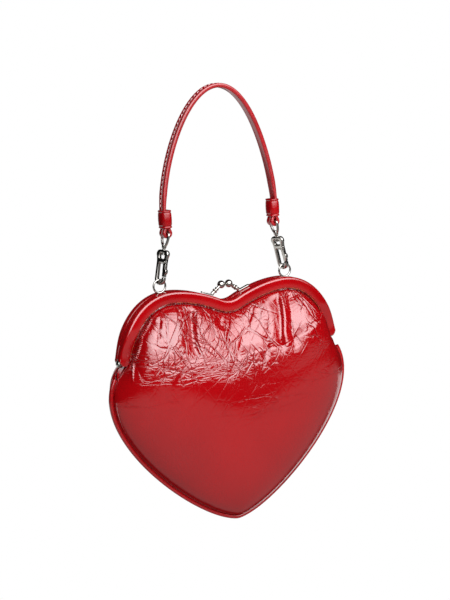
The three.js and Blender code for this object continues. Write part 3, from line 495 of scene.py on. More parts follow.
def plate(outline, holes, thickness, bevel):
    """Plate with rounded edges from an outline in X and Z, centred on Y."""
    curve = bpy.data.curves.new("plate_outline", "CURVE")
    curve.dimensions = "2D"
    curve.fill_mode = "BOTH"
    curve.extrude = thickness / 2 - bevel
    curve.bevel_depth = bevel
    curve.bevel_resolution = 4
    curve.offset = -bevel
    for loop in [outline, *holes]:
        spline = curve.splines.new("POLY")
        spline.points.add(len(loop) - 1)
        for corner, (x, z) in zip(spline.points, loop):
            corner.co = (x, z, 0, 1)
        spline.use_cyclic_u = True
    holder = bpy.data.objects.new("plate_outline", curve)
    bpy.context.scene.collection.objects.link(holder)
    bpy.context.view_layer.update()
    solid = bmesh.new()
    mesh = holder.evaluated_get(bpy.context.evaluated_depsgraph_get()).to_mesh()
    solid.from_mesh(mesh)
    bmesh.ops.remove_doubles(solid, verts=solid.verts, dist=1e-4)
    points = [(v.co.x, -v.co.z, v.co.y) for v in solid.verts]
    faces = [tuple(v.index for v in face.verts) for face in solid.faces]
    solid.free()
    bpy.data.objects.remove(holder)
    bpy.data.curves.remove(curve)
    return points, faces


def carve(piece, *cutters):
    """Cut other solids, given as points and faces, out of a piece."""
    for points, faces in cutters:
        tool = make_piece("cutter", points, faces, piece.data.materials[0])
        step = piece.modifiers.new("cut", "BOOLEAN")
        step.operation = "DIFFERENCE"
        step.object = tool
        bpy.context.view_layer.update()
        cut = piece.evaluated_get(bpy.context.evaluated_depsgraph_get())
        done = bpy.data.meshes.new_from_object(cut)
        piece.modifiers.clear()
        piece.data = done
        bpy.data.objects.remove(tool)
    piece.data.set_sharp_from_angle(angle=math.radians(SHARP))


def box(low, high):
    """Plain block between two corners."""
    wide, deep, tall = zip(low, high)
    corners = [(x, y, z) for x in wide for y in deep for z in tall]
    return corners, [(0, 1, 3, 2), (4, 6, 7, 5), (0, 4, 5, 1), (2, 3, 7, 6), (0, 2, 6, 4), (1, 5, 7, 3)]


# Materials
class Nodes:
    """Short way to add and link nodes in one tree."""

    def __init__(self, tree):
        self.tree = tree

    def add(self, kind, links=None, **settings):
        node = self.tree.nodes.new(kind)
        for name, value in settings.items():
            setattr(node, name, value)
        for socket, value in (links or {}).items():
            self.set(node, socket, value)
        return node

    def set(self, node, socket, value):
        target = node.inputs[socket]
        if isinstance(value, bpy.types.NodeSocket):
            self.tree.links.new(value, target)
        else:
            target.default_value = value

    def math(self, operation, a, b=0.0, clamp=False):
        return self.add("ShaderNodeMath", {0: a, 1: b}, operation=operation, use_clamp=clamp).outputs[0]

    def plus(self, a, b, clamp=False):
        return self.math("ADD", a, b, clamp)

    def minus(self, a, b):
        return self.math("SUBTRACT", a, b)

    def times(self, value, *others):
        for other in others:
            value = self.math("MULTIPLY", value, other)
        return value

    def largest(self, value, *others):
        for other in others:
            value = self.math("MAXIMUM", value, other)
        return value

    def mix(self, factor, a, b):
        return self.add("ShaderNodeMix", {0: factor, 6: a, 7: b}, data_type="RGBA").outputs[2]

    def ramp(self, value, low, high, start=0.0, end=1.0):
        links = {"Value": value, "From Min": low, "From Max": high, "To Min": start, "To Max": end}
        return self.add("ShaderNodeMapRange", links).outputs["Result"]

    def vector(self, operation, a, b):
        return self.add("ShaderNodeVectorMath", {0: a, 1: b}, operation=operation).outputs[0]

    def split(self, vector):
        return self.add("ShaderNodeSeparateXYZ", {0: vector}).outputs

    def object_place(self):
        return self.add("ShaderNodeTexCoord").outputs["Object"]

    def cut_place(self):
        """Place on the flat cut of a sheet, in metres."""
        return self.add("ShaderNodeUVMap", uv_map="cut").outputs["UV"]

    def cloud(self, place, scale, detail=2.0):
        links = {"Vector": place, "Scale": scale, "Detail": detail}
        return self.add("ShaderNodeTexNoise", links).outputs["Fac"]

    def ribs(self, place, scale, distortion, way="DIAGONAL", detail=2.0):
        links = {"Vector": place, "Scale": scale, "Distortion": distortion, "Detail": detail}
        return self.add("ShaderNodeTexWave", links, bands_direction=way).outputs["Fac"]

    def bump(self, height, distance, strength=1.0, normal=None):
        links = {"Height": height, "Distance": distance, "Strength": strength}
        if normal is not None:
            links["Normal"] = normal
        return self.add("ShaderNodeBump", links).outputs["Normal"]

    def place_group(self, group, links):
        return self.add("ShaderNodeGroup", links, node_tree=group).outputs


def new_group(name, inputs, outputs):
    """Node group with inputs that have a default value, or none for a place, and outputs of values."""
    group = bpy.data.node_groups.new(name, "ShaderNodeTree")
    for socket, value in inputs.items():
        kind = "NodeSocketVector" if value is None else "NodeSocketFloat"
        made = group.interface.new_socket(name=socket, in_out="INPUT", socket_type=kind)
        if value is not None:
            made.default_value = value
    for socket in outputs:
        group.interface.new_socket(name=socket, in_out="OUTPUT", socket_type="NodeSocketFloat")
    nodes = Nodes(group)
    return group, nodes, nodes.add("NodeGroupInput").outputs, nodes.add("NodeGroupOutput")


def crackle_group():
    """Mask of the fine broken lines of creased patent."""
    inputs = {"Vector": None, "Cell": 90.0, "Width": 0.05, "Warp": 0.004}
    group, nodes, given, done = new_group("patent_crackle", inputs, ["Lines"])
    place = given["Vector"]
    links = {"Vector": place, "Scale": 160.0, "Detail": 3.0}
    shift = nodes.add("ShaderNodeTexNoise", links).outputs["Color"]
    centred = nodes.vector("SUBTRACT", shift, (0.5, 0.5, 0.5))
    scaled = nodes.add("ShaderNodeVectorMath", {0: centred, "Scale": given["Warp"]}, operation="SCALE")
    links = {"Vector": nodes.vector("ADD", place, scaled.outputs[0]), "Scale": given["Cell"]}
    cells = nodes.add("ShaderNodeTexVoronoi", links, feature="DISTANCE_TO_EDGE").outputs["Distance"]
    links = {"Value": cells, "From Max": given["Width"], "To Min": 1.0, "To Max": 0.0}
    line = nodes.add("ShaderNodeMapRange", links, interpolation_type="SMOOTHSTEP").outputs["Result"]
    broken = nodes.ramp(nodes.cloud(place, 45.0), 0.38, 0.5)
    nodes.set(done, "Lines", nodes.times(line, broken))
    return group


def grain_group():
    """Fine leather grain as a height."""
    group, nodes, given, done = new_group("leather_grain", {"Vector": None, "Scale": 900.0}, ["Height"])
    links = {"Vector": given["Vector"], "Scale": given["Scale"]}
    cells = nodes.add("ShaderNodeTexVoronoi", links, feature="SMOOTH_F1").outputs["Distance"]
    nodes.set(done, "Height", nodes.plus(cells, nodes.cloud(given["Vector"], given["Scale"], 3.0)))
    return group


def handling_group():
    """Smudges and faint rubbing that change the gloss, and a slow drift of the colour."""
    inputs = {"Vector": None, "Low": 0.1, "High": 0.3, "Scale": 30.0}
    group, nodes, given, done = new_group("handling_marks", inputs, ["Roughness", "Drift"])
    links = {"Vector": given["Vector"], "Scale": given["Scale"], "Detail": 5.0, "Roughness": 0.6}
    smudges = nodes.add("ShaderNodeTexNoise", links).outputs["Fac"]
    nodes.set(done, "Roughness", nodes.ramp(smudges, 0.35, 0.68, given["Low"], given["High"]))
    nodes.set(done, "Drift", nodes.cloud(given["Vector"], 14.0))
    return group


def edge_group():
    """Mask of the edges and rims that rub, from how sharply the surface turns."""
    group, nodes, given, done = new_group("rubbed_edges", {"Low": 0.53, "High": 0.66}, ["Mask"])
    turn = nodes.add("ShaderNodeNewGeometry").outputs["Pointiness"]
    nodes.set(done, "Mask", nodes.ramp(turn, given["Low"], given["High"]))
    return group


patent_crackle = crackle_group()
leather_grain = grain_group()
handling_marks = handling_group()
rubbed_edges = edge_group()


def new_material(name):
    material = bpy.data.materials.new(name)
    material.use_nodes = True
    return material, Nodes(material.node_tree), material.node_tree.nodes["Principled BSDF"]


def handled(nodes, place, low, high, scale):
    """Roughness between two values and a colour drift, for a surface that hands have touched."""
    return nodes.place_group(handling_marks, {"Vector": place, "Low": low, "High": high, "Scale": scale})


def crackled(nodes, place, cell, width, warp):
    """Crackle lines of a given fineness, width and waviness."""
    links = {"Vector": place, "Cell": cell, "Width": width, "Warp": warp}
    return nodes.place_group(patent_crackle, links)["Lines"]


def finish_surface(nodes, shader, colour, marks, relief):
    """Link colour, handled roughness and relief to a shader."""
    nodes.set(shader, "Base Color", colour)
    nodes.set(shader, "Roughness", marks["Roughness"])
    nodes.set(shader, "Normal", relief)


PATENT_RED = (0.335, 0.0007, 0.0025, 1)
PATENT_DEEP = (0.29, 0.0005, 0.002, 1)
# Deeper red painted into the crease lines as shade
CREASE_SHADE_RED = (0.2, 0.0, 0.002, 1)
PIPING_RED = (0.36, 0.0015, 0.004, 1)
STRAP_RED = (0.36, 0.0025, 0.006, 1)
KEEPER_RED = (0.33, 0.0015, 0.004, 1)


def stretched(nodes, flat, turn, scale):
    """Flat map turned by an angle in degrees and stretched, to draw a pattern out along one way."""
    links = {"Vector": flat, "Angle": math.radians(turn)}
    turned = nodes.add("ShaderNodeVectorRotate", links, rotation_type="Z_AXIS").outputs[0]
    return nodes.vector("MULTIPLY", turned, scale)


def patent_zones(nodes, flat):
    """Shares of the upper half, of the bend and of the band below the bend, over the flat cut."""
    parts = nodes.split(flat)
    x = parts["X"]
    lifted = nodes.plus(nodes.ramp(x, 0.005, 0.06, 0.0, 0.009), nodes.ramp(x, -0.05, -0.09, 0.0, 0.005))
    wavy = nodes.times(nodes.minus(nodes.cloud(flat, 42.0), 0.5), 0.026)
    rise = nodes.plus(nodes.minus(parts["Y"], lifted), wavy)
    leftward = nodes.ramp(x, 0.006, -0.016, 0.08, 1.0)
    bend = nodes.times(nodes.ramp(rise, -0.021, -0.011), nodes.ramp(rise, 0.005, -0.004), leftward)
    below = nodes.times(nodes.ramp(rise, -0.062, -0.045), nodes.ramp(rise, -0.024, -0.036))
    sides = nodes.times(nodes.ramp(x, -0.079, -0.07, 0.15), nodes.ramp(x, 0.074, 0.06, 0.25))
    fold = nodes.times(nodes.ramp(x, 0.025, 0.031), nodes.ramp(x, 0.047, 0.043))
    calm = nodes.times(sides, nodes.minus(1.0, nodes.times(fold, 0.8)))
    return nodes.times(nodes.ramp(rise, -0.02, -0.004), calm), bend, below


def patent_panel():
    """Crinkled patent: crackle in the upper half, long creases at the bend, faint wrinkles below it,
    with painted shade darkening the crease lines.
    """
    material, nodes, shader = new_material("crinkled_patent")
    flat = nodes.cut_place()
    upper, bend, below = patent_zones(nodes, flat)
    tall = stretched(nodes, flat, 0, (1.0, 0.6, 1.0))
    wide = stretched(nodes, flat, 0, (0.2, 1.0, 1.0))
    coarse = crackled(nodes, tall, 92.0, 0.065, 0.004)
    rising = crackled(nodes, stretched(nodes, flat, 38, (1.0, 0.32, 1.0)), 75.0, 0.05, 0.002)
    falling = crackled(nodes, stretched(nodes, flat, -33, (1.0, 0.3, 1.0)), 68.0, 0.045, 0.002)
    creases = nodes.times(nodes.largest(coarse, rising, falling), nodes.plus(upper, 0.11, clamp=True))
    small = nodes.times(crackled(nodes, tall, 230.0, 0.13, 0.003), nodes.times(upper, 0.32))
    bent = nodes.times(nodes.plus(bend, 0.08), 0.6)
    folds = nodes.times(crackled(nodes, wide, 380.0, 0.2, 0.005), bent)
    wrinkles = nodes.times(crackled(nodes, wide, 150.0, 0.075, 0.007), below)
    height = nodes.largest(creases, small, folds, nodes.times(wrinkles, 0.15))
    # Painted shade: the crease lines, and most of all the wrinkles below the bend, darken the colour
    # towards a deeper red
    shade = nodes.largest(height, nodes.times(wrinkles, 0.7))
    grain = nodes.place_group(leather_grain, {"Vector": flat, "Scale": 700.0})["Height"]
    relief = nodes.bump(grain, 0.00002, 0.2, nodes.bump(height, -0.00045))
    marks = handled(nodes, flat, 0.08, 0.16, 22.0)
    colour = nodes.mix(nodes.ramp(marks["Drift"], 0.35, 0.7), PATENT_RED, PATENT_DEEP)
    colour = nodes.mix(nodes.times(shade, 0.55), colour, CREASE_SHADE_RED)
    finish_surface(nodes, shader, colour, marks, relief)
    shader.inputs["IOR"].default_value = 1.95
    return material


def smooth_patent(name, red, low, high, grain_scale=800.0, grain_depth=0.00003, gloss=1.9):
    """Patent or polished leather without crackle, with grain, smudges and rubbed edges."""
    material, nodes, shader = new_material(name)
    place = nodes.object_place()
    marks = handled(nodes, place, low, high, 70.0)
    grain = nodes.place_group(leather_grain, {"Vector": place, "Scale": grain_scale})["Height"]
    rubbed = nodes.place_group(rubbed_edges, {})["Mask"]
    dark = (red[0] * 0.7, red[1] * 0.6, red[2] * 0.6, 1)
    light = (min(red[0] * 1.3, 1), red[1] * 4 + 0.004, red[2] * 4 + 0.004, 1)
    colour = nodes.mix(nodes.ramp(marks["Drift"], 0.35, 0.7), red, dark)
    colour = nodes.mix(nodes.times(rubbed, 0.5), colour, light)
    finish_surface(nodes, shader, colour, marks, nodes.bump(grain, grain_depth, 0.5))
    shader.inputs["IOR"].default_value = gloss
    return material


def polished_silver():
    """Plated steel with fine rubbing lines and dull hollows."""
    material, nodes, shader = new_material("polished_silver")
    place = nodes.object_place()
    hair = nodes.cloud(nodes.vector("MULTIPLY", place, (4.0, 4.0, 1.0)), 900.0, 4.0)
    rubbed = nodes.place_group(rubbed_edges, {"Low": 0.5, "High": 0.6})["Mask"]
    colour = nodes.mix(rubbed, (0.44, 0.42, 0.385, 1), (0.62, 0.6, 0.56, 1))
    marks = handled(nodes, place, 0.1, 0.28, 220.0)
    finish_surface(nodes, shader, colour, marks, nodes.bump(hair, 0.00001, 0.3))
    shader.inputs["Metallic"].default_value = 1.0
    return material


def twill_lining():
    """Dark red twill: diagonal ribs crossed by threads."""
    material, nodes, shader = new_material("lining_twill")
    flat = nodes.cut_place()
    threads = nodes.ribs(flat, 520.0, 0.4, "X")
    weave = nodes.times(nodes.ribs(flat, 260.0, 0.6, detail=1.0), nodes.plus(threads, 0.6))
    colour = nodes.mix(weave, (0.035, 0.003, 0.005, 1), (0.075, 0.008, 0.011, 1))
    marks = handled(nodes, flat, 0.72, 0.92, 40.0)
    finish_surface(nodes, shader, colour, marks, nodes.bump(weave, 0.0002, 0.6))
    shader.inputs["Sheen Weight"].default_value = 0.25
    return material


def twisted_paper():
    """Brown paper with its fibres."""
    material, nodes, shader = new_material("twisted_paper")
    place = nodes.object_place()
    fibre = nodes.cloud(place, 1500.0, 4.0)
    colour = nodes.mix(fibre, (0.36, 0.25, 0.13, 1), (0.58, 0.45, 0.27, 1))
    marks = handled(nodes, place, 0.85, 1.0, 300.0)
    finish_surface(nodes, shader, colour, marks, nodes.bump(fibre, 0.0001, 0.6))
    return material


def strap_thread():
    """Pale sewing thread with its two plies."""
    material, nodes, shader = new_material("strap_thread")
    place = nodes.object_place()
    plies = nodes.ribs(place, 900.0, 1.0)
    colour = nodes.mix(plies, (0.62, 0.3, 0.3, 1), (0.8, 0.55, 0.54, 1))
    marks = handled(nodes, place, 0.35, 0.6, 200.0)
    finish_surface(nodes, shader, colour, marks, nodes.bump(plies, 0.00006, 0.6))
    return material


def edge_paint():
    """Painted leather edge, worn thin in places."""
    material, nodes, shader = new_material("edge_paint")
    place = nodes.object_place()
    worn = nodes.cloud(place, 420.0, 3.0)
    colour = nodes.mix(nodes.ramp(worn, 0.4, 0.62), (0.2, 0.008, 0.006, 1), (0.42, 0.09, 0.03, 1))
    marks = handled(nodes, place, 0.3, 0.5, 160.0)
    finish_surface(nodes, shader, colour, marks, nodes.bump(worn, 0.0001, 0.5))
    return material


crinkled = patent_panel()
cover_leather = smooth_patent("frame_patent", PATENT_RED, 0.05, 0.13)
piping_leather = smooth_patent("piping_patent", PIPING_RED, 0.1, 0.22)
strap_leather = smooth_patent("strap_leather", STRAP_RED, 0.18, 0.3, 1100.0, 0.00005, 1.8)
keeper_leather = smooth_patent("keeper_leather", KEEPER_RED, 0.1, 0.22, 1000.0, 0.00004, 1.55)
silver = polished_silver()
lining_cloth = twill_lining()
paper = twisted_paper()
seam_thread = strap_thread()
painted_edge = edge_paint()


# Pouch
def spread(u):
    """Share of a panel's bulge across it."""
    return np.maximum(0, 1 - np.abs(u) ** SPREAD_POWER) ** SPREAD_EDGE


def rim_share_beside(v):
    """Share of the frame beside a row of a panel, past 1 below the frame's end."""
    return CORNER_SHARE + (1 - CORNER_SHARE) * v / HINGE_SHARE


def side_edge(v, flare=-SIDE_BOW):
    """Right edge of a panel: down the frame's mouth to its end, then free to the start of the seam."""
    if v <= HINGE_SHARE:
        return rim_point(rim_share_beside(v), -MOUTH)
    end, foot = rim_point(1, -MOUTH), seam_point(1)
    control = end.lerp(foot, 0.5) + Vector((flare, 0))
    return bezier([end, control, foot], (v - HINGE_SHARE) / (1 - HINGE_SHARE))


def tucked_side(v, flare=-SIDE_BOW):
    """Right edge of a panel's tuck, which lies in the channel and runs out beside the free edge."""
    share = rim_share_beside(v)
    if share <= 1:
        return rim_point(max(share, CORNER_SHARE + CORNER_CUT), -TUCK_DEPTH)
    free = (1 - v) / (1 - HINGE_SHARE)
    return side_edge(v, flare) + Vector(((MOUTH - TUCK_DEPTH) * free ** TUCK_FADE + TUCK_SLIP, 0))


def edge_depth(down):
    """Depth of a panel's outer face along its side edge."""
    head = PANEL_OUTER * narrow(np.array([side_edge(v).y for v in down]))
    return head + (SEAM_OUTER - head) * smoothstep(down, HINGE_SHARE, 1)


def panel_shape(across, down, flare=-SIDE_BOW):
    """Places and outward normals of a panel for columns across and rows down from the frame."""
    u, v = across[:, None], down[None, :]
    top = np.array([rim_point(share * CORNER_SHARE, -MOUTH) for share in across])
    foot = np.array([seam_point(share) for share in across])
    side = np.array([side_edge(share, flare) for share in down])
    corner, side_foot = rim_point(CORNER_SHARE, -MOUTH), seam_point(1)
    x = top[:, :1] * (1 - v) + foot[:, :1] * v + u * (side[:, 0] - corner.x * (1 - v) - side_foot.x * v)
    z = top[:, 1:] * (1 - v) + foot[:, 1:] * v + side[:, 1] - corner.y * (1 - v) - side_foot.y * v
    swell = np.sin(np.pi * v).clip(0, 1) ** (SWELL_HEAD + (SWELL_FOOT - SWELL_HEAD) * v)
    depth = edge_depth(down)[None, :] + CROWN * spread(u) * swell
    places = np.stack([x, np.broadcast_to(depth, x.shape), z], axis=-1)
    normals = np.cross(np.gradient(places, axis=0), np.gradient(places, axis=1))
    normals /= np.linalg.norm(normals, axis=-1, keepdims=True)
    edge = (np.abs(u) >= 1) | (v <= 0) | (v >= 1)
    normals[edge] = (0, 1, 0)
    return places, normals


def columns_across(count, reach=1.0):
    """Columns of a panel, closer together at its sides."""
    turn = 0.92 * math.pi
    return reach * np.sin(np.linspace(-0.5, 0.5, count + 1) * turn) / math.sin(0.5 * turn)


def rows_down(count, end=1.0):
    """Rows of a panel, closer together at its head and foot."""
    return end * (1 - np.cos(np.linspace(0, math.pi, count + 1))) / 2


# Folds of a panel: places on it as across and rise, depth, and widths on its left and right.
# A negative depth is a ridge. The last one of the front is the bend that runs to its right side.
FRONT_BEND = [(66, 13), (60, 9), (52, 7), (43, 4), (37, 1), (28, 0), (12, -1), (-6, -4), (-24, -7)]
FRONT_FOLDS = [
    ([(-69, 32), (-77.8, 21.3), (-85.8, 1.7), (-87.8, -3), (-90, -12), (-90.6, -16)], -2.0, 1.0, 0.45),
    ([(-64, 31), (-67, 25), (-69, 16)], 1.0, 3.0, 2.0),
    ([(-33, 38), (-38, 23), (-40, 12), (-38, -4)], 4.2, 14.0, 3.0),
    ([(-10, 32), (-9, 27), (-14, 17)], 2.2, 8.0, 3.0),
    ([(20, 36), (17, 29), (6, 14), (-3, -1), (-14, -14), (-18, -23)], 1.3, 3.4, 2.0),
    ([(27, 16), (22, 4), (18, -6), (16, -12)], 1.6, 7.0, 2.0),
    ([(42, 40), (38.5, 22), (35, 8), (32, -8)], 3.8, 13.0, 2.4),
    ([(52, 42), (48, 22), (44, 6), (42, -8)], 3.8, 9.0, 12.0),
    ([(76, 30), (82, 14), (88, -2)], 1.4, 3.0, 4.0),
    (FRONT_BEND, -3.0, 7.0, 24.0),
]
BACK_FOLDS = [
    ([(-78, 26), (-86, 8), (-91, -6)], 1.8, 3.0, 5.0),
    ([(-48, 40), (-46, 22), (-52, 2)], 2.0, 9.0, 3.2),
    ([(-14, 34), (-12, 18), (-17, 2)], 1.2, 2.6, 4.5),
    ([(18, 35), (20, 18), (28, -2)], 1.4, 5.0, 2.4),
    ([(52, 40), (50, 18), (56, -4)], 2.2, 3.4, 9.0),
    ([(80, 24), (87, 8), (92, -6)], 1.6, 4.0, 3.0),
]
FOLD_POWER = 1.3
FOLD_FADE = 0.7

# Shares of a panel over which the folds begin at its held edges, and where its relief changes
HELD_TOP = 0.05
HELD_FOOT = 0.08
HELD_SIDE = 0.025
GATHER_FADE = 6
UPPER_HALF = (-18, 6)
LUMP_LOWER = 0.2
LUMP_UPPER = 0.35
BEND_WIDTH = 7
BEND_CALM = 0.9
BEND_CALMS = (-14, 14)
BEND_DROP = 7.5
BEND_CLIMBS = (5, 60)
BEND_LIFT = 5
BEND_LIFTS = (50, 90)

# Small relief of the leather: height, length across, length down and draw of each noise
GATHERS = [(0.3, 7, 45, 0), (0.2, 3.5, 26, 3)]
LUMPS = [(1, 34, 40, 7)]
BEND_CREASES = [(0.09, 26, 3.4, 11), (0.12, 13, 1.9, 13)]
WRINKLES = [(0.1, 4, 6, 17)]


def along_line(x, z, line, steps=40):
    """Signed distance from a line, positive on its right going down, and the share along it."""
    corners = np.array(line, dtype=float)
    reach = np.concatenate([[0], np.cumsum(np.linalg.norm(np.diff(corners, axis=0), axis=1))])
    places = np.linspace(0, reach[-1], steps)
    points = np.stack([np.interp(places, reach, corners[:, axis]) for axis in range(2)], axis=1)
    for _ in range(steps // 8):
        points[1:-1] = (points[:-2] + 2 * points[1:-1] + points[2:]) / 4
    ways = np.gradient(points, axis=0)
    gaps_x, gaps_z = x[..., None] - points[:, 0], z[..., None] - points[:, 1]
    distances = np.hypot(gaps_x, gaps_z)
    nearest = distances.argmin(axis=-1)
    near_x, near_z, distance = (np.take_along_axis(values, nearest[..., None], -1)[..., 0]
                                for values in (gaps_x, gaps_z, distances))
    turn = ways[nearest][..., 0] * near_z - ways[nearest][..., 1] * near_x
    return np.sign(turn) * distance, nearest / (steps - 1)


def fold_relief(x, z, folds):
    """Sharp hollows, or ridges of negative depth, along fold lines that fade at their lower ends."""
    relief = np.zeros_like(x)
    for line, depth, left, right in folds:
        gap, share = along_line(x, z, line)
        distance = np.abs(gap) / np.where(gap < 0, left, right)
        fade = 1 - smoothstep(share, FOLD_FADE, 1)
        relief -= depth * fade * np.maximum(0, 1 - distance) ** FOLD_POWER
    return relief


def noise_field(x, z, wide, tall, seed):
    """Soft noise of a given length across and down."""
    flat = [noise.noise((a / wide, b / tall, seed)) for a, b in zip(x.ravel(), z.ravel())]
    return np.array(flat).reshape(x.shape)


def uneven(x, z, noises, seed):
    """Sum of several noises, each with its own height."""
    return sum(height * noise_field(x, z, wide, tall, seed + draw)
               for height, wide, tall, draw in noises)


def panel_relief(places, across, down, seed):
    """How far the leather stands out of its folded form: gathers, lumps, fine creases at the bend."""
    x, z = places[..., 0], places[..., 2]
    upper = smoothstep(z, *UPPER_HALF)
    calm = 1 - BEND_CALM * smoothstep(x, *BEND_CALMS)
    bend = np.exp(-((z - bend_rise(x)) / BEND_WIDTH) ** 2) * calm
    gathers = np.exp(-GATHER_FADE * down[None, :]) * uneven(x, z, GATHERS, seed)
    lumps = (LUMP_LOWER + LUMP_UPPER * upper) * uneven(x, z, LUMPS, seed)
    creases = bend * uneven(x, z, BEND_CREASES, seed)
    return held_edges(across, down) * (gathers + lumps + creases + upper * uneven(x, z, WRINKLES, seed))


def held_edges(across, down):
    """Share of the folds that is free: none where the frame, the seam and the sides hold the panel."""
    u, v = np.abs(across)[:, None], down[None, :]
    top, foot = smoothstep(v, 0, HELD_TOP), smoothstep(1 - v, 0, HELD_FOOT)
    return top * foot * smoothstep(1 - u, 0, HELD_SIDE)


def bend_rise(x):
    """Height of the band of creases where the front bends."""
    return BEND_DROP * (smoothstep(x, *BEND_CLIMBS) - 1) + BEND_LIFT * smoothstep(-x, *BEND_LIFTS)


def panel_folds(places, across, down, side):
    """Depth of the folds of one side, which the lining follows too."""
    folds = BACK_FOLDS if side > 0 else FRONT_FOLDS
    return held_edges(across, down) * fold_relief(places[..., 0], places[..., 2], folds)


def shell_piece(name, side, columns, rows, seed):
    """Leather panel with its thickness, its tucked edge in the frame and its foot on the seam."""
    across, down = columns_across(columns), rows_down(rows)
    flare = BACK_FLARE if side > 0 else -SIDE_BOW
    places, normals = panel_shape(across, down, flare)
    relief = panel_relief(places, across, down, seed) + panel_folds(places, across, down, side)
    outer = places + normals * relief[..., None]
    layers = ((outer, 0), (outer - normals * PANEL, PANEL))
    points, faces = slab(*(grid_with_tuck(grid, across, down, inset, flare) for grid, inset in layers))
    return sheet_piece(name, points, faces, side, crinkled)


def sheet_piece(name, points, faces, side, material, closed=True):
    """Panel or lining on the front or the back, with the flat cut that its pattern lies on."""
    flat = points[:, [0, 2]] * MM
    points[:, 1] *= side
    piece = make_piece(name, points, faces, material, SOFT_SHARP, closed)
    layer = piece.data.uv_layers.new(name="cut")
    corners = np.array([loop.vertex_index for loop in piece.data.loops])
    layer.data.foreach_set("uv", np.asarray(flat, dtype=np.float32)[corners].ravel())
    return piece


def slab(outer, inner):
    """Closed sheet between two grids of points."""
    wide, tall = outer.shape[:2]
    points = np.concatenate([grid.reshape(-1, 3) for grid in (outer, inner)])
    faces = []
    half = wide * tall
    for c in range(wide - 1):
        here, there = c * tall, (c + 1) * tall
        for r in range(tall - 1):
            a, b, d, e = here + r, there + r, there + r + 1, here + r + 1
            faces += [(a, b, d, e), (half + a, half + e, half + d, half + b)]
        for r in (0, tall - 1):
            faces.append((here + r, there + r, half + there + r, half + here + r))
    for c in (0, wide - 1):
        for r in range(tall - 1):
            a, e = c * tall + r, c * tall + r + 1
            faces.append((a, e, half + e, half + a))
    return points, faces


def grid_with_tuck(grid, across, down, inset, flare):
    """Add the row and the two columns that lie inside the frame's channel."""
    top = []
    for u in across:
        share = np.sign(u) * min(abs(u) * CORNER_SHARE, CORNER_SHARE - CORNER_CUT)
        place = rim_point(share, -TUCK_DEPTH)
        top.append((place.x, PANEL_OUTER * narrow(place.y) - inset, place.y))
    grid = np.concatenate([np.array(top)[:, None, :], grid], axis=1)
    edges = []
    for hand, column in ((-1, 0), (1, -1)):
        corner = rim_point(CORNER_SHARE, -TUCK_DEPTH + CORNER_CUT)
        edge = [(hand * corner.x, PANEL_OUTER - inset, corner.y)]
        for row, v in enumerate(down):
            place = tucked_side(v, flare)
            held = v <= HINGE_SHARE
            depth = PANEL_OUTER * narrow(place.y) - inset if held else grid[column, row + 1, 1]
            edge.append((hand * place.x, depth, place.y))
        edges.append(np.array(edge)[None])
    return np.concatenate([edges[0], grid, edges[1]], axis=0)


def lining_piece(name, side, columns=56, rows=44):
    """Loose cloth inside a panel, held in the channel of its half of the frame."""
    across, down = columns_across(columns, LINING_REACH), rows_down(rows, LINING_REACH)
    places, normals = panel_shape(across, down)
    v = down[None, :, None]
    deeper = (LINING_INSET - PANEL) * smoothstep(v, *LINING_LEAVES)
    deeper = deeper * (1 - LINING_NEARER * smoothstep(v, *LINING_NEARS))
    waves = noise_field(places[..., 0], places[..., 2], *LINING_WAVE, 31 + side)[..., None]
    slack = np.abs(LINING_SLACK * waves * smoothstep(v, *LINING_SLACKENS))
    folds = panel_folds(places, across, down, side)[..., None]
    points = places + normals * (folds - (PANEL + LINING_GAP + deeper) - slack)
    top = [rim_point(u * CORNER_SHARE, -TUCK_DEPTH) for u in across]
    tuck = np.array([(p.x, PANEL_OUTER * narrow(p.y) - PANEL - LINING_GAP, p.y) for p in top])
    points = np.concatenate([tuck[:, None, :], points], axis=1)
    wide, tall = points.shape[:2]
    faces = [(c * tall + r, c * tall + r + 1, (c + 1) * tall + r + 1, (c + 1) * tall + r)
             for c in range(wide - 1) for r in range(tall - 1)]
    piece = sheet_piece(name, points.reshape(-1, 3), faces, side, lining_cloth, closed=False)
    return piece


def across_the_hinge(piece, *nodes):
    """Bake a sheet's placement into its mesh and hide the nodes of the part that it stands for."""
    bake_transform(piece)
    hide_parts(*nodes)


def make_pouch():
    """Front and back panels and their linings."""
    front = shell_piece("front_panel", -1, columns=220, rows=230, seed=2.0)
    across_the_hinge(front, "front_panel_upper", "front_panel_lower")
    back = shell_piece("back_panel_leather", 1, columns=120, rows=90, seed=41.0)
    stand_for(back, "bag", "back_panel", slot="red_leather")
    front_cloth = lining_piece("front_lining", -1)
    across_the_hinge(front_cloth, "front_lining_upper", "front_lining_lower")
    back_cloth = lining_piece("back_lining_cloth", 1)
    stand_for(back_cloth, "bag", "back_lining")


def make_gussets():
    """Leather tucked in between the two panels below each hinge."""
    down = np.linspace(HINGE_SHARE, 1, 25)
    depth = edge_depth(down) - PANEL - GUSSET_GAP
    back_inset, front_inset = GUSSET_INSETS
    for name, hand in HANDS:
        grids = []
        for layer in (0.0, GUSSET):
            rows = []
            for v, edge in zip(down, depth):
                back, front = side_edge(v, BACK_FLARE), side_edge(v)
                fold = GUSSET_FOLD * math.sin(math.pi * (v - HINGE_SHARE) / (1 - HINGE_SHARE))
                inner = front.x - front_inset
                line = [(back.x - back_inset, edge), (front.x - fold - front_inset, 0), (inner, -edge)]
                places = [bezier(line, step / 8) for step in range(9)]
                rows.append([(hand * (p.x - layer), p.y, front.y) for p in places])
            grids.append(np.array(rows))
        piece = make_piece(f"{name}_gusset", *slab(*grids), cover_leather, SOFT_SHARP)
        stand_for(piece, "bag", slot="red_leather")


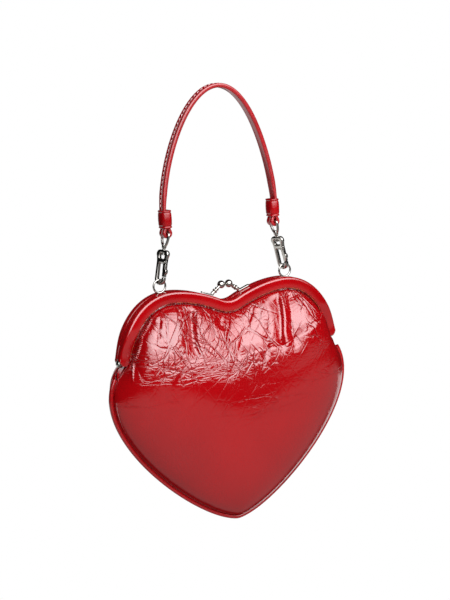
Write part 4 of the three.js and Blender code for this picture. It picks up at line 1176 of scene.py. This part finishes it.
def make_piping():
    """Covered cord in the seam, with the tongue that is sewn between the panels."""
    radius = PIPING / 2
    gap = math.degrees(math.asin(TONGUE / PIPING))
    section = arc(0, radius, radius, 90 + gap, 450 - gap, 22)
    section += [(TONGUE / 2, PIPING + TONGUE_REACH), (-TONGUE / 2, PIPING + TONGUE_REACH)]
    piece = make_piece("seam_piping", *band(seam, np.linspace(0, 1, 150), section), piping_leather)
    stand_for(piece, "bag", "piping", slot="red_leather")


# Frame
def cover_section():
    """Section of a cover as depths and heights from the frame's top."""
    lip = FRAME_TALL - COVER
    crown = (COVER_OUTER - COVER_CROWN, -COVER_CROWN)
    return [
        (CHANNEL_INNER, -COVER), (CHANNEL_INNER, -COVER_ROUND), (CHANNEL_INNER + COVER_ROUND, 0),
        *arc(*crown, COVER_CROWN, 90, 0, 12),
        *arc(COVER_OUTER - COVER, -FRAME_TALL + COVER, COVER, 0, -90, 6),
        (FLANGE_INNER, -FRAME_TALL), (FLANGE_INNER, -lip), (COVER_OUTER - COVER, -lip),
        *arc(*crown, COVER_CROWN - COVER, 0, 90, 6),
    ]


def cover_stations(shares):
    """Stations along a cover, each with how far it lies past the frame's end on the rivet's tongue."""
    steps = TONGUE_LENGTH * np.sin(np.linspace(0, math.pi / 2, 9)[1:])
    (start, left), (end, right) = rim.station(shares[0]), rim.station(shares[-1])
    first = [(start + Vector((-left.y, left.x)) * past, left, past) for past in reversed(steps)]
    last = [(end + Vector((right.y, -right.x)) * past, right, past) for past in steps]
    return first + [(*rim.station(share), 0) for share in shares] + last


def end_section(past):
    """Section of a cover, closing to a rounded tongue outside the hinge lugs past the frame's end."""
    middle = FRAME_TALL / 2
    tall = math.sqrt(1 - min(past / TONGUE_LENGTH, TONGUE_TIP) ** 2)
    inner = CHANNEL_INNER + (FLANGE_INNER - CHANNEL_INNER) * smoothstep(past, 0, LUG_CLEAR)
    share = (COVER_OUTER - inner) / (COVER_OUTER - CHANNEL_INNER)
    return [(COVER_OUTER - (COVER_OUTER - d) * share, -middle + (h + middle) * tall)
            for d, h in cover_section()]


def make_frame_covers():
    """Leather wrapped over each half of the frame, with a painted line along its lower edge."""
    shares = np.linspace(COVER_END / rim.length, 1 - COVER_END / rim.length, 190)
    size = len(cover_section())
    for name, side, body in FRAME_HALVES:
        points = []
        for place, normal, past in cover_stations(shares):
            points += [off_line((place, normal), h, side * d) for d, h in end_section(past)]
        shape = narrowed((points, loft_faces(len(points) // size, size)))
        cover = make_piece(f"{name}_frame_leather", *shape, cover_leather)
        if side > 0:
            cut_ring_seats(cover)
        stand_for(cover, body, f"frame_cover_{name}", slot="red_leather")
        line = arc(COVER_OUTER - TRIM_INSET, TRIM_RISE - FRAME_TALL, TRIM_RADIUS, 0, 345, 9)
        shape = narrowed(band(rim, shares[1:-1], line, side))
        trim = make_piece(f"{name}_frame_edge", *shape, painted_edge)
        stand_for(trim, body, slot="red_leather")


def cut_ring_seats(cover):
    """Open the back cover where the two rings stand in the frame."""
    reach = RING_RADIUS + RING_WIRE - COVER
    top = rim.point(rim_share(RING_X)).y
    front, back = RING_SLOT
    for _, hand in HANDS:
        x = hand * RING_X
        carve(cover, box((x - reach, front, top - WEB_TOP), (x + reach, back, top + COVER)))


def make_packing_cords():
    """Paper cord of three twisted strands in each channel."""
    shares = np.linspace(cover_trim, 1 - cover_trim, 260)
    corners = 12
    for name, side, body in FRAME_HALVES:
        points = []
        for share in shares:
            station = rim.station(share)
            twist = share * rim.length / CORD_LAY * 2 * math.pi
            for corner in range(corners):
                angle = corner / corners * 2 * math.pi
                radius = CORD_RADIUS + CORD_STRAND * math.cos(3 * angle + twist)
                depth = CORD_PLACE[0] + radius * math.cos(angle)
                height = CORD_PLACE[1] + radius * math.sin(angle)
                points.append(off_line(station, height, side * depth))
        shape = narrowed((points, loft_faces(len(shares), corners)))
        cord = make_piece(f"{name}_packing_cord", *shape, paper)
        stand_for(cord, body, f"packing_cord_{name}", slot="paper_cord")


def make_rivets():
    """Hinge pins with a domed head outside and a clinched end inside."""
    inner, outer = HINGE_INNER - SEAT_GAP, HINGE_OUTER + SEAT_GAP
    clinch, low = RIVET_RADIUS + RIVET_CLINCH, inner - RIVET_CLINCH
    dome = [(RIVET_HEAD * c, outer + RIVET_DOME * s) for c, s in arc(0, 0, 1, 0, 90, 10)]
    profile = [(0, low), (clinch - CHAMFER, low), (clinch, low + CHAMFER), (clinch, inner),
               (RIVET_RADIUS, inner), (RIVET_RADIUS, outer), (RIVET_HEAD - CHAMFER, outer), *dome]
    profile[-1] = (0, dome[-1][1])
    for name, hand in HANDS:
        turn = Matrix.Rotation(hand * math.pi / 2, 4, "Y")
        rivet = make_piece(f"{name}_hinge_rivet", *placed(lathe(profile), turn), silver)
        stand_for(rivet, "bag", f"hinge_rivet_{name}", slot="silver_metal")


def lock_stem(reach):
    """Turned stem of a lock's arm, with its two beads, up to its ball."""
    tip = reach - BALL_RADIUS + BALL_SINK
    profile = [(0, 0), *[(size, reach * place) for place, size in STEM_FOOT]]
    for middle, size in STEM_BEADS:
        profile += [(STEM + (size - STEM) * c, reach * (middle + BEAD_HALF * s))
                    for c, s in arc(0, 0, 1, -90, 90, 9)]
    return lathe(profile + [(STEM, reach * STEM_NECK), (STEM, tip), (0, tip)], 28)


def make_kiss_lock():
    """Plate, stem and ball on each half of the frame, which snap past each other."""
    point, normal = rim.station(rim_share(LOCK_X))
    length, width, thick = LOCK_SIZE
    base = plate(round_box(length, width, LOCK_ROUND), [], thick, LOCK_BEVEL)
    globe = arc(0, 0, BALL_RADIUS, -90, 90, 20)
    globe[0], globe[-1] = (0, -BALL_RADIUS), (0, BALL_RADIUS)
    for name, hand, body in FRAME_HALVES:
        x, _, rise = off_line((point, normal), SEAT_GAP, 0)
        seat = Vector((hand * x, hand * LOCK_DEPTH, rise))
        tilt = Matrix.Rotation(hand * math.atan2(normal.x, normal.y), 4, "Y")
        flat = Matrix.Translation((0, 0, thick / 2)) @ Matrix.Rotation(math.pi / 2, 4, "X")
        foot = seat + tilt @ Vector((-hand * (length / 2 - width / 2), 0, STEM_SINK))
        ball = Vector((hand * (BALL_RADIUS + BALL_GAP / 2), 0, BALL_RISE))
        way = ball - foot
        aim = Matrix.Translation(foot) @ way.to_track_quat("Z", "Y").to_matrix().to_4x4()
        foot_plate = placed(base, Matrix.Translation(seat) @ tilt @ flat)
        stem = placed(lock_stem(way.length), aim)
        arm = make_piece(f"{name}_lock_arm", *together(foot_plate, stem), silver)
        stand_for(arm, body, f"lock_arm_{name}", slot="silver_metal")
        knob = make_piece(f"{name}_lock_ball", *placed(lathe(globe), Matrix.Translation(ball)), silver)
        stand_for(knob, body, f"lock_ball_{name}", slot="silver_metal")


ring_rise = rim.point(rim_share(RING_X)).y - WEB_TOP + SEAT_GAP + RING_WIRE + RING_RADIUS


def make_rings():
    """Rings on the back half of the frame, which the hooks hold."""
    for name, hand in HANDS:
        middle = (hand * RING_X, RING_SETBACK, ring_rise)
        ring = make_piece(f"{name}_ring", *torus(middle, RING_RADIUS, RING_SLIM), silver)
        stand_for(ring, "bag", f"handle_ring_{name}", slot="silver_metal")


# Clasps
def hook_outline():
    """Outline of a hook: its bow, nose, throat, bridge and two shoulders."""
    waist = WINDOW_RISE - BRIDGE / 2
    throat = [(-HOOK_INNER, BRIDGE_RISE - HOOK_INNER / 2), (-HOOK_INNER, BRIDGE_RISE),
              (-HOOK_INNER / 2, BRIDGE_RISE)]
    return [
        *arc(0, BOW_RISE, HOOK_OUTER, 180, 360, 28),
        (HOOK_OUTER, NOSE_RISE), (HOOK_INNER, NOSE_RISE),
        *arc(0, BOW_RISE, HOOK_INNER, 360, 180, 20),
        *[bezier(throat, step / 6) for step in range(7)],
        (HOOK_OUTER, BRIDGE_RISE), (HOOK_OUTER, waist),
        *arc(SHOULDER_X, SHOULDER_RISE, SHOULDER_RADIUS, -36, 108, 16),
        *arc(-SHOULDER_X, SHOULDER_RISE, SHOULDER_RADIUS, 72, 216, 16),
        (-HOOK_OUTER, waist),
    ]


def hook_body(name, matrix):
    """Cast hook with a window for the swivel's head, bores for post and pin, and a slot for the gate."""
    window = [(x, z + WINDOW_RISE + WINDOW[1] / 2) for x, z in round_box(*WINDOW, WINDOW_ROUND)]
    body = make_piece(f"{name}_hook", *plate(hook_outline(), [window], HOOK_THICK, PLATE_BEVEL), silver)
    half = GATE_TONGUE / 2 + PART_GAP
    slot = box((GATE_MIDDLE - KNUCKLE - GATE_ROOM, -half, BRIDGE_RISE - BRIDGE),
               (2 * HOOK_OUTER, half, KNUCKLE_RISE + KNUCKLE + PART_GAP))
    bore = rod(POST + BORE_ROOM, BORE_HALF, WINDOW_TOP + 1.5 * YOKE_WALL)
    pin_bore = placed(rod(GATE_PIN + BORE_ROOM, PIN_BORE_HALF), pin_place())
    carve(body, slot, bore, pin_bore)
    settle(body, matrix)
    return body


def pin_place():
    """Place and way of the gate's pin in its clasp."""
    return Matrix.Translation((GATE_MIDDLE, 0, KNUCKLE_RISE)) @ Matrix.Rotation(math.pi / 2, 4, "X")


def settle(piece, matrix):
    """Move a piece drawn in its own clasp's frame to its place on the bag."""
    lift = Matrix.Translation(to_world([(0, 0, 0)])[0])
    scaled = matrix.copy()
    scaled.translation *= MM
    piece.data.transform(lift @ scaled @ lift.inverted())


def gate_shape():
    """Gate bar with its thumb pad, and the knuckle on the pin."""
    low, high = NOSE_RISE + GATE_GAP, BRIDGE_RISE - PART_GAP
    inner, outer = GATE_MIDDLE - GATE_WIDE / 2, GATE_MIDDLE + GATE_WIDE / 2
    proud, length = THUMB
    thumb = (low + high) / 2 - length / 4
    swell = [(outer + proud * c, thumb + length / 2 * s) for c, s in arc(0, 0, 1, -90, 90, 12)]
    head = [(outer, high), (GATE_MIDDLE, high), (inner, high - GATE_WIDE / 2)]
    bar = plate([(inner, low), (outer, low), *swell, *head], [], GATE_THICK, HOOK_BEVEL / 2)
    eye = [*arc(GATE_MIDDLE, KNUCKLE_RISE, KNUCKLE, 0, 180, 16),
           (GATE_MIDDLE - KNUCKLE, high - KNUCKLE), (GATE_MIDDLE + KNUCKLE, high - KNUCKLE)]
    return together(bar, plate(eye, [], GATE_TONGUE, CHAMFER))


def spring_shape():
    """Leaf spring under the bridge, turned down along the gate."""
    side = GATE_MIDDLE - GATE_WIDE / 2 - PART_GAP - SPRING / 2
    roof = BRIDGE_RISE - PART_GAP - SPRING / 2
    turn = HOOK_LIMB / 2
    root, tip = (-HOOK_INNER / 2, roof), (side, (NOSE_RISE + roof) / 2)
    bend = [(side - turn, roof), (side, roof), (side, roof - turn)]
    leaf = Line([[root, bend[0]], bend, [bend[-1], tip]], 16)
    return band(leaf, np.linspace(0, 1, 30), round_box(SPRING_WIDE, SPRING, SPRING_ROUND, 2))


def eye_shape():
    """Wire loop with its bar in the strap's fold, and the headed swivel post."""
    half = STRAP_WIDE / 2 + STRAP_GAP + EYE_WIRE
    shoulder, hip = (half * 0.75, 0), (half * 0.98, -EYE_NECK * 0.32)
    loop = Line(mirrored([
        [(0, 0), (half * 0.35, 0), shoulder],
        [shoulder, (half * 1.12, 0), hip],
        [hip, (half * 0.7, -EYE_NECK), (0, -EYE_NECK)],
    ]), 16)
    path = [loop.point(share) for share in np.linspace(0, 1, 73)[:-1]]
    wire = tube([(0, p.x, CLASP_LENGTH + p.y) for p in path], EYE_WIRE, 16, looped=True)
    neck, head = CLASP_LENGTH - EYE_NECK, WINDOW_TOP - SEAT_GAP
    foot = head - HEAD_TALL
    below, above = HEAD_BEVELS
    knob = [(POST + (NECK_RADIUS - POST) * c, neck + NECK_RADIUS * s)
            for c, s in arc(0, 0, 1, -90, 90, 12)]
    post = lathe([(0, foot), (POST_HEAD - below, foot), (POST_HEAD, foot + below),
                  (POST_HEAD, head - above), (POST_HEAD - above, head), (POST, head),
                  *knob, (0, neck + NECK_RADIUS)], 28)
    return together(wire, post)


def make_spring(name, turned):
    """Leaf spring of a clasp, baked into place, for the node of the part that it stands for."""
    spring = make_piece(f"{name}_gate_spring", *placed(spring_shape(), turned), silver)
    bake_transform(spring)
    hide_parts(f"gate_spring_{name}")


def make_clasps():
    """Snap hook, gate, pin, spring and swivel eye on each side."""
    for name, hand in HANDS:
        ring = Matrix.Translation((hand * RING_X, RING_SETBACK, ring_rise))
        stand = ring @ Matrix.Rotation(-hand * CLASP_TILT, 4, "Y")
        turned = stand @ Matrix.Rotation(HOOK_TURN, 4, "Z")
        stand_for(hook_body(name, turned), f"{name}_hook", f"hook_body_{name}", slot="silver_metal")
        bar = rod(GATE_PIN, HOOK_THICK / 2 + PART_GAP, chamfer=CHAMFER)
        pin = make_piece(f"{name}_gate_pin", *placed(bar, turned @ pin_place()), silver)
        stand_for(pin, f"{name}_hook", f"gate_pin_{name}", slot="silver_metal")
        make_spring(name, turned)
        gate = make_piece(f"{name}_gate_bar", *placed(gate_shape(), turned), silver)
        stand_for(gate, f"{name}_gate", f"hook_gate_{name}", slot="silver_metal")
        eye = make_piece(f"{name}_swivel", *placed(eye_shape(), stand), silver)
        stand_for(eye, "handle", f"swivel_eye_{name}", slot="silver_metal")


# Handle
bar_x = RING_X - CLASP_LENGTH * math.sin(CLASP_TILT)
bar_rise = ring_rise + CLASP_LENGTH * math.cos(CLASP_TILT)
keeper_foot = bar_rise + KEEPER_LIFT
keeper_head = keeper_foot + KEEPER_TALL
strap_layer = STRAP_THICK / 2 + STRAP_GAP / 2


def strap_line():
    """Middle of the strap: the arch, each leg through its keeper, round the eye's bar and back up."""
    fold = EYE_WIRE + STRAP_GAP + STRAP_THICK / 2
    leg, tail = bar_x + strap_layer, bar_x - strap_layer
    bow = fold * QUARTER_ROUND
    right, left, low = bar_x + fold, bar_x - fold, bar_rise - fold
    middle = keeper_head - KEEPER_TALL / 2
    shoulder = (leg - ARCH_FLARE, keeper_head + ARCH_LEG)
    return Line(mirrored([
        [(0, HANDLE_TOP), (ARCH_SHOULDER, HANDLE_TOP), shoulder, (leg, keeper_head)],
        [(leg, keeper_head), (leg, middle), (leg, keeper_foot)],
        [(leg, keeper_foot), (leg, bar_rise + fold), (right, bar_rise + fold / 2), (right, bar_rise)],
        [(right, bar_rise), (right, bar_rise - bow), (bar_x + bow, low), (bar_x, low)],
        [(bar_x, low), (bar_x - bow, low), (left, bar_rise - bow), (left, bar_rise)],
        [(left, bar_rise), (left, bar_rise + fold / 2), (tail, bar_rise + fold), (tail, keeper_foot)],
        [(tail, keeper_foot), (tail, middle), (tail, keeper_head - TAIL_SHORT)],
    ]))


def strap_section():
    """Folded leather with rounded edges and a sewn groove along the outer face."""
    section = round_box(STRAP_WIDE, STRAP_THICK, STRAP_ROUND)
    place = next(i for i, (depth, height) in enumerate(section) if depth < 0 and height > 0)
    return section[:place] + STRAP_GROOVE + section[place:]


def leaning(shape):
    """Arch above the keepers, leaning to the front."""
    points = []
    for x, depth, height in shape[0]:
        rise = max(0, (height - keeper_head) / (HANDLE_TOP - keeper_head))
        points.append((x, depth - ARCH_LEAN * rise ** 2, height))
    return points, shape[1]


def make_strap():
    """Strap in one length, with its arch a little fuller than its ends."""
    line = strap_line()
    shares = np.linspace(0, 1, 420)
    section = strap_section()
    points = []
    for share in shares:
        station = line.station(share)
        full = 1 + ARCH_FULL / STRAP_THICK * smoothstep(station[0].y - keeper_head, *ARCH_FILL)
        points += [off_line(station, h * full, d + RING_SETBACK) for d, h in section]
    strap = make_piece("strap", *leaning((points, loft_faces(len(shares), len(section)))), strap_leather)
    stand_for(strap, "handle", "handle_strap", slot="strap_leather")
    make_stitches(line)


def make_stitches(line):
    """Row of stitches in the strap's groove, over the arch between the keepers."""
    start = (keeper_head_reach(line) + STITCH_START) / line.length
    thread = [STITCH_ENDS + STITCH_BODY * (1 - t ** 4) for t in np.linspace(-0.95, 0.95, 9)]
    shapes = []
    for index in range(STITCHES):
        share = start + (1 - 2 * start) * (index + 0.5) / STITCHES
        path = []
        for t in np.linspace(-1, 1, 9):
            lift = STITCH_RISE + STITCH_BULGE * (1 - t * t)
            station = line.station(share + t * STITCH_HALF / line.length)
            path.append(off_line(station, lift, RING_SETBACK + STITCH_PLACE + STITCH_SLANT * t))
        shapes.append(tube(path, thread, 8))
    stitches = make_piece("strap_stitches", *leaning(together(*shapes)), seam_thread)
    stand_for(stitches, "handle", slot="strap_leather")


def keeper_head_reach(line):
    """Length of the strap from the keeper's top to the end that is folded back."""
    shares = np.linspace(0.5, 1, 400)
    below = next(share for share in shares if line.point(share).y < keeper_head)
    return (1 - below) * line.length


def make_keepers():
    """Leather loop round the two layers of each strap end, pressed in along two lines."""
    inside = (2 * (strap_layer + STRAP_THICK / 2 + STRAP_GAP), STRAP_WIDE + 2 * STRAP_GAP)
    head = [(KEEPER_TALL - height, pinch) for height, pinch in reversed(KEEPER_FOOT)]
    rings = []
    for height, pinch in [*KEEPER_FOOT, (KEEPER_TALL / 2, KEEPER_WAIST), *head]:
        wide, deep = (size + 2 * (KEEPER_WALL - pinch) for size in inside)
        rings.append([(x, y, height) for x, y in round_box(wide, deep, KEEPER_ROUND)])
    for height in (KEEPER_TALL, 0):
        rings.append([(x, y, height) for x, y in round_box(*inside, KEEPER_ROUND_INSIDE)])
    shape = sum(rings, []), loft_faces(len(rings), len(rings[0]), looped=True)
    for name, hand in HANDS:
        place = Matrix.Translation((hand * bar_x, RING_SETBACK, keeper_foot))
        keeper = make_piece(f"{name}_keeper", *placed(shape, place), keeper_leather)
        stand_for(keeper, "handle", f"strap_keeper_{name}", slot="strap_leather")


def dress_channels():
    """Give the frame's two metal channels their finish."""
    for name in ("frame_channel_front", "frame_channel_back"):
        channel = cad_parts[name]
        channel.data.materials.clear()
        channel.data.materials.append(silver)


# Stage, light and camera, in metres
WHITE = (1, 1, 1, 1)
FLOOR_REACH, FLOOR_FRONT, FLOOR_RISE = 1.5, 0.3, -0.62
CAMERA_TURN, CAMERA_DROP, CAMERA_ROLL = math.radians(28), 0.149692, -0.056685
CAMERA_MIDDLE = (0, 0.005, -0.2162)
CAMERA_AWAY, CAMERA_ACROSS, CAMERA_UP = 1.4, -0.0029, 0.0511
CAMERA_LENS = 107.7


def make_stage():
    """Pale floor, which looks white where it is seen or mirrored and keeps its shadows elsewhere."""
    material, nodes, shader = new_material("pale_floor")
    cloud = nodes.cloud(nodes.object_place(), 3.0, 3.0)
    nodes.set(shader, "Base Color", nodes.mix(cloud, (0.86, 0.86, 0.86, 1), (0.9, 0.9, 0.9, 1)))
    shader.inputs["Roughness"].default_value = 0.8
    rays = nodes.add("ShaderNodeLightPath").outputs
    seen = nodes.plus(rays["Is Camera Ray"], rays["Is Glossy Ray"])
    seen = nodes.plus(seen, rays["Is Transmission Ray"], clamp=True)
    glow = nodes.add("ShaderNodeEmission", {"Color": WHITE, "Strength": 1.0})
    shown = nodes.add("ShaderNodeMixShader", {0: seen, 1: shader.outputs[0], 2: glow.outputs[0]})
    nodes.set(material.node_tree.nodes["Material Output"], "Surface", shown.outputs[0])
    corners = [(-FLOOR_REACH, FLOOR_FRONT), (FLOOR_REACH, FLOOR_FRONT),
               (FLOOR_REACH, FLOOR_REACH), (-FLOOR_REACH, FLOOR_REACH)]
    mesh = bpy.data.meshes.new("floor")
    mesh.from_pydata([(x, y, FLOOR_RISE) for x, y in corners], [], [(0, 1, 2, 3)])
    mesh.materials.append(material)
    floor = bpy.data.objects.new("floor", mesh)
    bpy.context.scene.collection.objects.link(floor)


def make_world():
    """White behind, grey below and dark on the camera's side, as in a small studio."""
    world = bpy.data.worlds.new("studio")
    bpy.context.scene.world = world
    world.use_nodes = True
    nodes = Nodes(world.node_tree)
    way = nodes.split(nodes.add("ShaderNodeTexCoord").outputs["Generated"])
    behind = nodes.ramp(way["Y"], 0.93, 0.99)
    below = nodes.times(nodes.ramp(way["Z"], -0.17, -0.23), nodes.ramp(way["Y"], 0.35, 0.15))
    front = nodes.mix(below, (0.012, 0.012, 0.012, 1), (0.26, 0.26, 0.26, 1))
    seen = nodes.add("ShaderNodeLightPath").outputs["Is Camera Ray"]
    background = world.node_tree.nodes["Background"]
    nodes.set(background, "Color", nodes.mix(seen, nodes.mix(behind, front, WHITE), WHITE))
    background.inputs["Strength"].default_value = 1.0


def area_light(name, place, target, size, power, shows=True):
    """Lamp of a given size and power, which shows in mirroring surfaces or not."""
    light = bpy.data.lights.new(name, "AREA")
    light.shape = "RECTANGLE"
    light.size, light.size_y = size
    light.energy = power
    light.color = (0.96, 0.97, 1.0)
    lamp = bpy.data.objects.new(name, light)
    lamp.location = place
    lamp.rotation_euler = (Vector(target) - Vector(place)).to_track_quat("-Z", "Y").to_euler()
    lamp.visible_camera = False
    lamp.visible_glossy = shows
    bpy.context.scene.collection.objects.link(lamp)
    return light


def soften_edges(light):
    """Softbox cloth, brightest in its middle."""
    light.use_nodes = True
    nodes = Nodes(light.node_tree)
    place = nodes.add("ShaderNodeNewGeometry").outputs["Parametric"]
    parts = nodes.split(nodes.vector("SUBTRACT", place, (0.5, 0.5, 0.0)))
    across, up = (nodes.math("ABSOLUTE", parts[axis]) for axis in "XY")
    level = nodes.times(nodes.ramp(across, 0.2, 0.5, 1.3, 0.45), nodes.ramp(up, 0.15, 0.5, 1.3, 0.45))
    nodes.set(light.node_tree.nodes["Emission"], "Strength", level)


def make_lights():
    """One large softbox in front and two weak fills."""
    softbox = area_light("softbox", (0.02, -0.64, 0.28), (0, 0, -0.24), (1.8, 1.1), 18.6)
    soften_edges(softbox)
    area_light("low_fill", (0, -0.7, -0.85), (0, 0, -0.24), (1.2, 0.8), 4.5, shows=False)
    area_light("back_fill", (-0.3, 0.9, 0.4), (0, 0, -0.22), (0.9, 0.6), 5, shows=False)


def make_camera():
    """Camera at the photograph's side and height, tilted a little as the photograph is."""
    sin_turn, cos_turn = math.sin(CAMERA_TURN), math.cos(CAMERA_TURN)
    right = Vector((cos_turn, -sin_turn, 0))
    level = math.cos(CAMERA_DROP)
    ahead = Vector((sin_turn * level, cos_turn * level, -math.sin(CAMERA_DROP)))
    up = right.cross(ahead)
    across = math.cos(CAMERA_ROLL) * right + math.sin(CAMERA_ROLL) * up
    upward = -math.sin(CAMERA_ROLL) * right + math.cos(CAMERA_ROLL) * up
    place = Vector(CAMERA_MIDDLE) - CAMERA_AWAY * ahead + CAMERA_ACROSS * across + CAMERA_UP * upward
    camera = bpy.data.cameras.new("camera")
    camera.lens = CAMERA_LENS
    camera.sensor_width = 36
    holder = bpy.data.objects.new("camera", camera)
    axes = Matrix((across, upward, -ahead)).transposed().to_4x4()
    holder.matrix_world = Matrix.Translation(place) @ axes
    bpy.context.scene.collection.objects.link(holder)
    bpy.context.scene.camera = holder


make_camera()
make_pouch()
make_gussets()
make_piping()
make_frame_covers()
make_packing_cords()
make_rivets()
make_kiss_lock()
make_rings()
make_clasps()
make_strap()
make_keepers()
dress_channels()
make_stage()
make_world()
make_lights()
bpy.context.scene.view_settings.view_transform = "Standard"
